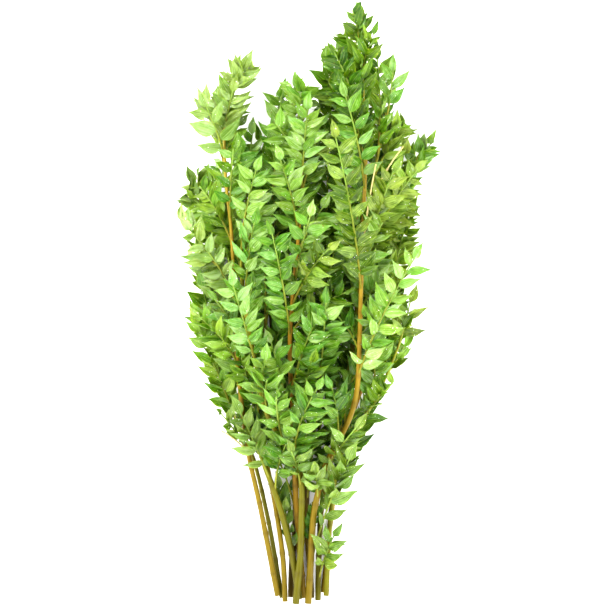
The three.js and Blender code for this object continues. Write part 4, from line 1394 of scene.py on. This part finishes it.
@dataclass
class SideSprays:
    """The finer sprays that fill the room between the main ones.

    Each aims at a free spot inside the bunch's outline, from a stem that can reach it at a natural slant, and
    is kept where its twig and enough of its leaves stand clear.
    """

    edge: Edge = Edge((
        (30, -236), (48, -224), (60, -190), (74, -152), (90, -120), (110, -84), (127, -52), (134, 0),
        (134, 60), (137, 92), (139, 128), (138, 156), (157, 180), (153, 206), (118, 216), (108, 244),
        (109, 266), (101, 294), (95, 264), (86, 248), (89, 300), (84, 336), (68, 352), (60, 364), (46, 346),
        (28, 322), (10, 304), (16, 280), (6, 254), (-10, 276), (-38, 264), (-40, 238), (-58, 212),
        (-58, 186), (-68, 192), (-72, 222), (-62, 250), (-56, 288), (-74, 292), (-96, 298), (-114, 262),
        (-131, 258), (-142, 234), (-128, 212), (-109, 196), (-106, 178), (-138, 166), (-146, 152),
        (-157, 124), (-158, 104), (-143, 86), (-150, 62), (-151, 44), (-148, 0), (-142, -30), (-135, -60),
        (-123, -90), (-115, -116), (-102, -156), (-80, -166), (-58, -188), (-38, -200), (-22, -210),
        (-4, -224), (14, -234)))
    # The low round and the gap rounds take the deep green: darker leaves set low in the bunch and in its gaps, a real
    # tone used here partly as painted shade.
    rounds: tuple[Round, ...] = (Round(900, 34.0, Green.DEEP), Round(1500, 132.0),
                                 Round(900, 110.0, Green.DEEP, 2), Round(1500, 60.0, Green.DEEP, 0))
    free: Habit = Habit((42.0, 138.0), (9.0, 40.0), FIRST_LEAF, 4, 0.5)
    in_gap: Habit = Habit((24.0, 170.0), (5.0, 62.0), 8.0, 2, 0.3)
    gap_lead: Range = (2.0, 16.0)           # how far past a gap its spray's tip is
    gap_inward: float = 14.0                # how far inside the edge a gap is
    across: Range = (-158, 158)             # where tips may be
    along: Range = (-215, 345)
    heights: Range = (8.0, 132.0)
    lowest: float = 1.0
    lift: float = 0.6                       # below 1, more tips are high up than low down
    edge_z: float = 26.0
    dome_half_width: float = 168.0
    dome_marks: tuple[float, ...] = (-240, -140, -40, 140, 250, 350)
    dome_shares: tuple[float, ...] = (0.5, 0.72, 1, 1, 0.78, 0.6)
    bare_stem: float = 45.0                 # the foot of each stem has no side sprays
    inside_share: float = 0.84              # of a filler's leaf that is inside the edge, at least
    twig_trials: int = 8
    seed: int = 411
    first_number: int = 100

    def ceiling(self, points: Array) -> Array:
        """Works out how high the foliage may rise: a dome across, lower at both ends.

        Args:
            points: Rows that start with x and y.

        Returns:
            The height over each point.
        """
        across = np.clip(1 - (points[:, 0] / self.dome_half_width) ** 2, 0, 1)
        along = np.interp(points[:, 1], self.dome_marks, self.dome_shares)
        return self.edge_z + (self.heights[1] - self.edge_z) * across * along

    def holds(self, points: Array) -> bool:
        """Returns whether all points are inside the outline and under the ceiling."""
        low_enough = points[:, 2] <= self.ceiling(points)
        return bool((self.edge.holds(points) & low_enough & (points[:, 2] > self.lowest)).all())

    def nearly_holds(self, points: Array) -> bool:
        """Returns whether most points are inside the outline and all stand above the surface."""
        return bool(self.edge.holds(points).mean() > self.inside_share and (points[:, 2] > self.lowest).all())

    def shadow(self, cover: Array, space: Space, rod: Rod, leaves: Sequence[tuple[float, Leaf]] = ()) -> None:
        """Marks on a map of the surface what a rod and its blades hide, each as narrow as folds leave it.

        Args:
            cover: The map: for each cell across and along, whether something hides it.
            space: The cells.
            rod: The stem or twig.
            leaves: Its leaves, each with its place.
        """
        blades = [leaf.points(0, 1, FOLDED_SHOULDERS, FOLDED_WIDTHS) for _, leaf in leaves]
        places, inside = space.cells(np.vstack([rod.skin(), *blades]))
        cover[tuple(places[inside, :2].T)] = True

    def gaps(self, cover: Array, margin: int) -> Array:
        """Finds where nothing hides the surface, seen from above, well inside the edge.

        Args:
            cover: The map of what is hidden.
            margin: How many cells a place is at least from what hides the surface.

        Returns:
            The places.
        """
        for axis in (0, 1):
            cover = np.logical_or.reduce([np.roll(cover, shift, axis) for shift in range(-margin, margin + 1)])
        places = SPACE_MIN[:2] + (np.argwhere(~cover) + 0.5) * CELL
        shifts = self.gap_inward * np.array([(0, 0), (1, 0), (-1, 0), (0, 1), (0, -1)])
        return places[np.logical_and.reduce([self.edge.holds(places + shift) for shift in shifts])]

    def aim(self, stream: RandomStream, highest: float, gaps: Array | None
            ) -> tuple[int, float, Array] | None:
        """Picks a spot for a tip and the stem to reach it from: any that can reach a gap, or else the straightest.

        Args:
            stream: The numbers to draw from.
            highest: How high the tip may be.
            gaps: Places that the spray should cover, if it isn't free to go anywhere.

        Returns:
            The stem's place in the list, how far along the bunch the twig leaves it, and the tip; or
            nothing where no stem can reach the spot.
        """
        if gaps is None:
            habit = self.free
            tip = np.array([stream.between(*self.across), stream.between(*self.along), 0.0])
        else:
            habit = self.in_gap
            x, y = gaps[int(stream.draw() * len(gaps))]
            tip = np.array([x, y + stream.between(*self.gap_lead), 0.0])
        top = min(highest, self.ceiling(tip[None])[0])
        tip[2] = self.heights[0] + (top - self.heights[0]) * stream.draw() ** self.lift
        length, slant = stream.between(*habit.lengths), stream.between(*habit.slants)
        if not self.holds(tip[None]):
            return None
        y = tip[1] - length * math.cos(DEGREE * slant)
        choices: list[tuple[float, int]] = []
        for index, stem in enumerate(STEMS):
            if not stem.rod.centres[1, 1] + self.bare_stem < y < stem.rod.centres[-1, 1]:
                continue
            root, direction = stem.rod.place(stem.rod.travel_at(y))
            run = tip - root
            angle = math.degrees(math.acos(float(np.clip(unit(run) @ direction, -1, 1))))
            if angle <= habit.slants[1] and np.linalg.norm(run) <= habit.lengths[1]:
                choices.append((angle, index))
        if not choices:
            return None
        _, index = min(choices) if gaps is None else choices[int(stream.draw() * len(choices))]
        return index, y, tip

    def try_one(self, number: int, turn: Round, gaps: Array | None, owner: int, space: Space) -> Spray | None:
        """Tries to grow one spray. Where it fails, the cells are left as they were, except the cells next to its twig
        and leaves, which stay claimed.

        Args:
            number: The trial's number, which seeds the spray.
            turn: The round that it belongs to.
            gaps: Places that it should cover, if it isn't free to go anywhere.
            owner: The number that its cells would carry.
            space: The cells that are taken.

        Returns:
            The spray, or nothing where it found no room.
        """
        stream = RandomStream(self.seed + number)
        target = self.aim(stream, turn.highest, gaps)
        if target is None:
            return None
        index, y, tip = target
        habit = self.free if gaps is None else self.in_gap
        nearest = SPRAYS[int(np.argmin(np.linalg.norm(TIPS - tip, axis=1)))]
        spray = Spray("side", index + 1, y, tuple(tip), turn.green or nearest.green, habit.bare, owner=owner)
        for trial in range(self.twig_trials):
            spray.rod = spray.route(STEMS[index], stream, trial)
            if space.is_free(spray.rod.skin(TWIG_CLEAR_FROM), 0, close=True):
                break
        else:
            return None
        kept = space.core.copy()
        spray.dress(number + self.first_number, space, self.holds)
        if len(spray.leaves) < max(habit.fewest, spray.slots * habit.least_share):
            space.core = kept
            return None
        return spray

    def grow(self, space: Space, placed: Sequence[Spray], first_owner: int) -> list[Spray]:
        """Grows the sprays.

        Args:
            space: The cells that the stems and the other sprays hold.
            placed: The sprays that are there already.
            first_owner: The first number for an owner of cells.

        Returns:
            The sprays that found room.
        """
        grown: list[Spray] = []
        cover = np.zeros(space.count[:2], bool)
        for stem in STEMS:
            self.shadow(cover, space, stem.rod)
        for spray in placed:
            self.shadow(cover, space, spray.rod, spray.leaves)
        gaps, margin = None, None
        for number, turn in enumerate(turn for turn in self.rounds for _ in range(turn.tries)):
            if turn.margin is not None and (gaps is None or turn.margin != margin):
                gaps, margin = self.gaps(cover, turn.margin), turn.margin
            if gaps is not None and not len(gaps):
                continue
            spray = self.try_one(number, turn, gaps, first_owner + len(grown), space)
            if spray:
                self.shadow(cover, space, spray.rod, spray.leaves)
                grown.append(spray)
                gaps = None
        return grown


@dataclass
class Bunch:
    """The whole bunch: twelve stems, their main sprays and the finer side sprays."""

    side_sprays: SideSprays = field(default_factory=SideSprays)
    first_joint: Range = (24, 60)           # from a stem's cut end to its first joint
    joint_gap: Range = (34.0, 52.0)
    last_joint: float = 8.0                 # from the last joint to the tip, at least
    filler_reach: float = 0.5               # how far a filler on a twig may stray, as a share
    shades: dict[Green, float] = field(default_factory=lambda: {
        Green.LEAF: 0.53, Green.LIGHT: 0.56, Green.DEEP: 0.46, Green.GREY: 0.52, Green.LIME: 0.54})
    shade_spread: Range = (-0.1, 0.1)
    side_paling: dict[Green, float] = field(default_factory=lambda: {
        Green.LEAF: 0.2, Green.LIGHT: 0.0, Green.DEEP: 0.34, Green.GREY: 0.12, Green.LIME: 0.3})
    side_paling_start: float = 50.0              # the sides of the bunch are paler, from here outwards
    side_paling_width: float = 80.0
    foot_darkening: float = 0.22                    # the foot of the foliage is darker, from here down
    foot_darkening_start: float = -30.0
    foot_darkening_length: float = 100.0

    def place(self) -> Space:
        """Places the stems, the main sprays' twigs and then their leaves, from the tips inwards.

        Returns:
            The cells that they hold.
        """
        space = Space()
        for index, stem in enumerate(STEMS):
            space.claim(stem.rod.skin(), index + 1)
        for number, spray in enumerate(SPRAYS):
            spray.owner = len(STEMS) + number + 1
            spray.place_twig(STEMS[spray.stem - 1], number, space)
        longest = max(spray.rod.length for spray in SPRAYS)
        for slot in range(math.ceil(longest / LEAF_SPACING)):
            for number, spray in enumerate(SPRAYS):
                if spray.rod.length - slot * LEAF_SPACING * spray.scale >= spray.bare:
                    spray.place_leaf(number, slot, space)
        return space

    def fill(self, space: Space) -> list[Spray]:
        """Sets the sprays that close the open places.

        Args:
            space: The cells that are taken.

        Returns:
            The sprays that have leaves.
        """
        carriers = {(spray.stem, spray.name): spray for spray in SPRAYS}
        for number, spray in enumerate(FILLERS):
            spray.owner = len(STEMS) + len(SPRAYS) + number + 1
            holder = carriers.get((spray.stem, spray.carrier), STEMS[spray.stem - 1])
            reach = self.filler_reach if spray.carrier else 1
            outline = None if spray.name == "stray" else self.side_sprays.nearly_holds
            seed = FILLER_SEED + FILLER_SEED_EACH_STEM * spray.stem + round(spray.y / FILLER_SEED_SPACING)
            stream = RandomStream(seed)
            for trial in range(TWIG_TRIALS):
                spray.rod = spray.route(holder, stream, trial * reach)
                if space.is_free(spray.rod.skin(TWIG_CLEAR_FROM), 0, close=True):
                    spray.dress(seed, space, outline)
                    break
        return [spray for spray in FILLERS if spray.leaves]

    def pair(self, space: Space) -> None:
        """Adds the second leaf of each pair to the main sprays, where there is room and no stem stays in sight.

        Args:
            space: The cells that are taken.
        """
        for window in WINDOWS:
            space.claim(window.points(), IN_SIGHT)
        for slot in range(1, max(spray.slots for spray in SPRAYS)):
            for number, spray in enumerate(SPRAYS):
                if slot < spray.slots:
                    spray.place_leaf(number, slot, space, close=True, opposite=True, outline=self.side_sprays.holds)

    def press_stem(self, mould: Mould, number: int, stem: Stem) -> None:
        """Adds one stem to a piece.

        Args:
            mould: The piece's mould.
            number: The stem's place in the list, which seeds its joints.
            stem: The stem.
        """
        stream = RandomStream(STEM_JOINT_SEED + number)
        joints, travel = [], stream.between(*self.first_joint)
        while travel < stem.rod.length - self.last_joint:
            joints.append(travel)
            travel += stream.between(*self.joint_gap)
        STEM_MOULD.press(mould, stem.rod, joints, stream.between(*PATTERN_SHIFT), cut=True)

    def press_spray(self, mould: Mould, spray: Spray, seed: int) -> None:
        """Adds one spray's twig and blades to a piece.

        Args:
            mould: The piece's mould.
            spray: The spray.
            seed: The seed of its folds and shades.
        """
        stream = RandomStream(seed)
        joints = sorted(spray.rod.length - TIP_ROOT_DEPTH - place * LEAF_SPACING * spray.scale
                        for place, _ in spray.leaves)
        TWIG_MOULD.press(mould, spray.rod, joints, stream.between(*PATTERN_SHIFT), cut=False)
        outer = float(np.clip((abs(spray.tip[0]) - self.side_paling_start) / self.side_paling_width, 0, 1))
        lower = float(np.clip((self.foot_darkening_start - spray.tip[1]) / self.foot_darkening_length, 0, 1))
        shade = self.shades[spray.green] + stream.between(*self.shade_spread)
        shade += self.side_paling[spray.green] * outer
        shade -= self.foot_darkening * lower
        for index, (place, leaf) in enumerate(spray.leaves):
            youth = 1.0 if place < YOUNG_LEAVES else 0.0
            BLADE_MOULD.press(mould, leaf, RandomStream(seed * SEEDS_EACH_SPRAY + index), shade, youth)

    def press_bare_twigs(self, mould: Mould) -> None:
        """Adds the twigs that have lost their leaves to a piece.

        Args:
            mould: The piece's mould.
        """
        for number, spray in enumerate(BARE_TWIGS):
            rod = spray.route(STEMS[spray.stem - 1], RandomStream(BARE_TWIG_SEED + number), 0)
            joints = np.arange(LEAF_SPACING, rod.length, 2 * LEAF_SPACING).tolist()
            TWIG_MOULD.press(mould, rod, joints, BARE_TWIG_SHIFT * number, cut=True)

    @staticmethod
    def ride(piece: Piece, slot: str, node: str | None = None) -> Piece:
        """Ties a piece to the frame.

        Args:
            piece: The piece.
            slot: The record's material slot for it, which is the value of its tone. It is not used.
            node: The node that it stands for, if any.

        Returns:
            The piece.
        """
        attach(piece, BODY)
        if node:
            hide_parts(node)
        return piece

    def build(self) -> list[Piece]:
        """Places everything, and then makes the pieces.

        Returns:
            The pieces.
        """
        space = self.place()
        grown = self.fill(space)
        self.pair(space)
        grown += self.side_sprays.grow(space, [*SPRAYS, *grown], len(STEMS) + len(SPRAYS) + len(FILLERS) + 1)
        paints = {tone: finish.make() for tone, finish in (*BARKS.items(), *BLADES.items())}
        twig = TWIG_BARK.make()
        pieces: list[Piece] = []
        for number, stem in enumerate(STEMS):
            mould = Mould()
            self.press_stem(mould, number, stem)
            piece = mould.cast(f"{stem.name}_bark", [paints[stem.wood]])
            pieces.append(self.ride(piece, stem.wood.value, stem.name))
        for number, spray in enumerate(SPRAYS):
            mould = Mould()
            self.press_spray(mould, spray, SPRAY_FOLD_SEED + number)
            node = f"spray_{spray.stem:02d}_{spray.name}"
            piece = mould.cast(f"{node}_leafy", [twig, paints[spray.green]])
            pieces.append(self.ride(piece, spray.green.value, node))
        mould = Mould()
        self.press_bare_twigs(mould)
        pieces.append(self.ride(mould.cast("bare_twigs", [BARE_BARK.make()]), Wood.STRAW.value))
        moulds: dict[tuple[int, str], Mould] = {}
        for number, spray in enumerate(grown):
            mould = moulds.setdefault((spray.stem, spray.green.name), Mould())
            self.press_spray(mould, spray, SIDE_FOLD_SEED + number)
        for stem_number, tone in sorted(moulds):
            name = f"side_sprays_{stem_number:02d}_{tone.lower()}"
            piece = moulds[stem_number, tone].cast(name, [twig, paints[Green[tone]]])
            pieces.append(self.ride(piece, Green[tone].value))
        return pieces


@dataclass(frozen=True)
class Lamp:
    """A square soft lamp that points at the middle of the bunch: its place and size in metres, and its watts."""

    name: str
    place: Point
    size: float
    watts: float

    def hang(self) -> None:
        """Hangs the lamp."""
        lamp = bpy.data.lights.new(self.name, "AREA")
        lamp.size = self.size
        lamp.energy = self.watts
        holder = bpy.data.objects.new(self.name, lamp)
        holder.location = self.place
        away = -np.array(self.place) / np.linalg.norm(self.place)
        holder.rotation_euler = (math.acos(-away[2]), 0.0, math.atan2(-away[0], away[1]))
        bpy.context.scene.collection.objects.link(holder)


@dataclass
class Studio:
    """A pale surface under soft light, seen from straight above. Lengths are millimetres."""

    aim: Range = (-4.8, -2.4)
    height: float = 4000.0
    middle: float = 60.0                    # how high the foliage is where the view has its width
    view_width: float = 732.0
    sensor: float = 36.0
    view_end: float = 100.0                 # metres
    floor_size: float = 9000.0
    floor_gap: float = 0.3
    floor_paint: str = "#f6f6f5"
    sky: str = "#ffffff"
    sky_strength: float = 4.6
    middle_strength: float = 0.7            # of the sky straight above
    sky_band: Range = (0.5, 0.95)           # heights, as sines, between which its strength changes
    lamps: tuple[Lamp, ...] = (Lamp("key", (-1.3, 1.2, 2.2), 0.5, 64.0), Lamp("fill", (1.3, -0.8, 2.2), 1.6, 30.0))

    def set_camera(self) -> None:
        """Hangs the camera over the bunch and looks straight down."""
        camera = bpy.data.cameras.new("camera")
        camera.sensor_width = self.sensor
        camera.lens = self.sensor * (self.height - self.middle) / self.view_width
        camera.clip_end = self.view_end
        holder = bpy.data.objects.new("camera", camera)
        holder.location = (self.aim[0] * MM, self.aim[1] * MM, self.height * MM)
        bpy.context.scene.collection.objects.link(holder)
        bpy.context.scene.camera = holder

    def lay_floor(self) -> None:
        """Lays a matt white surface just under the bunch."""
        reach, depth = self.floor_size / 2 * MM, -self.floor_gap * MM
        corners = ((-1, -1), (1, -1), (1, 1), (-1, 1))
        mesh = bpy.data.meshes.new("floor")
        mesh.from_pydata([(x * reach, y * reach, depth) for x, y in corners], [], [(0, 1, 2, 3)])
        paint, shader, _ = new_material("white_paper")
        feed(paint.node_tree, shader, {"Base Color": colour(self.floor_paint), "Roughness": 0.9,
                                       "Specular IOR Level": 0.1})
        mesh.materials.append(paint)
        floor = bpy.data.objects.new("floor", mesh)
        bpy.context.scene.collection.objects.link(floor)

    def set_sky(self) -> None:
        """Sets a white sky that is darker straight above, where the blades would mirror it."""
        world = bpy.data.worlds.new("white_sky")
        world.use_nodes = True
        tree = world.node_tree
        coordinates = add_node(tree, "TexCoord", output="Generated")
        height = add_node(tree, "SeparateXYZ", (coordinates,), "Z")
        strength = add_node(tree, "MapRange", {"Value": height, "From Min": self.sky_band[0],
                                               "From Max": self.sky_band[1], "To Min": self.sky_strength,
                                               "To Max": self.middle_strength}, interpolation_type="SMOOTHSTEP")
        feed(tree, tree.nodes["Background"], {"Color": colour(self.sky), "Strength": strength})
        bpy.context.scene.world = world

    def build(self) -> None:
        """Sets up the camera, the surface and the light."""
        self.set_camera()
        self.lay_floor()
        self.set_sky()
        for lamp in self.lamps:
            lamp.hang()
        bpy.context.scene.view_settings.view_transform = "Standard"
        bpy.context.scene.view_settings.look = "Medium High Contrast"


def main() -> None:
    """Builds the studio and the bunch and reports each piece."""
    Studio().build()
    for piece in Bunch().build():
        LOG.info("%s: %d faces", piece.name, len(piece.data.polygons))


if __name__ == "__main__":
    main()
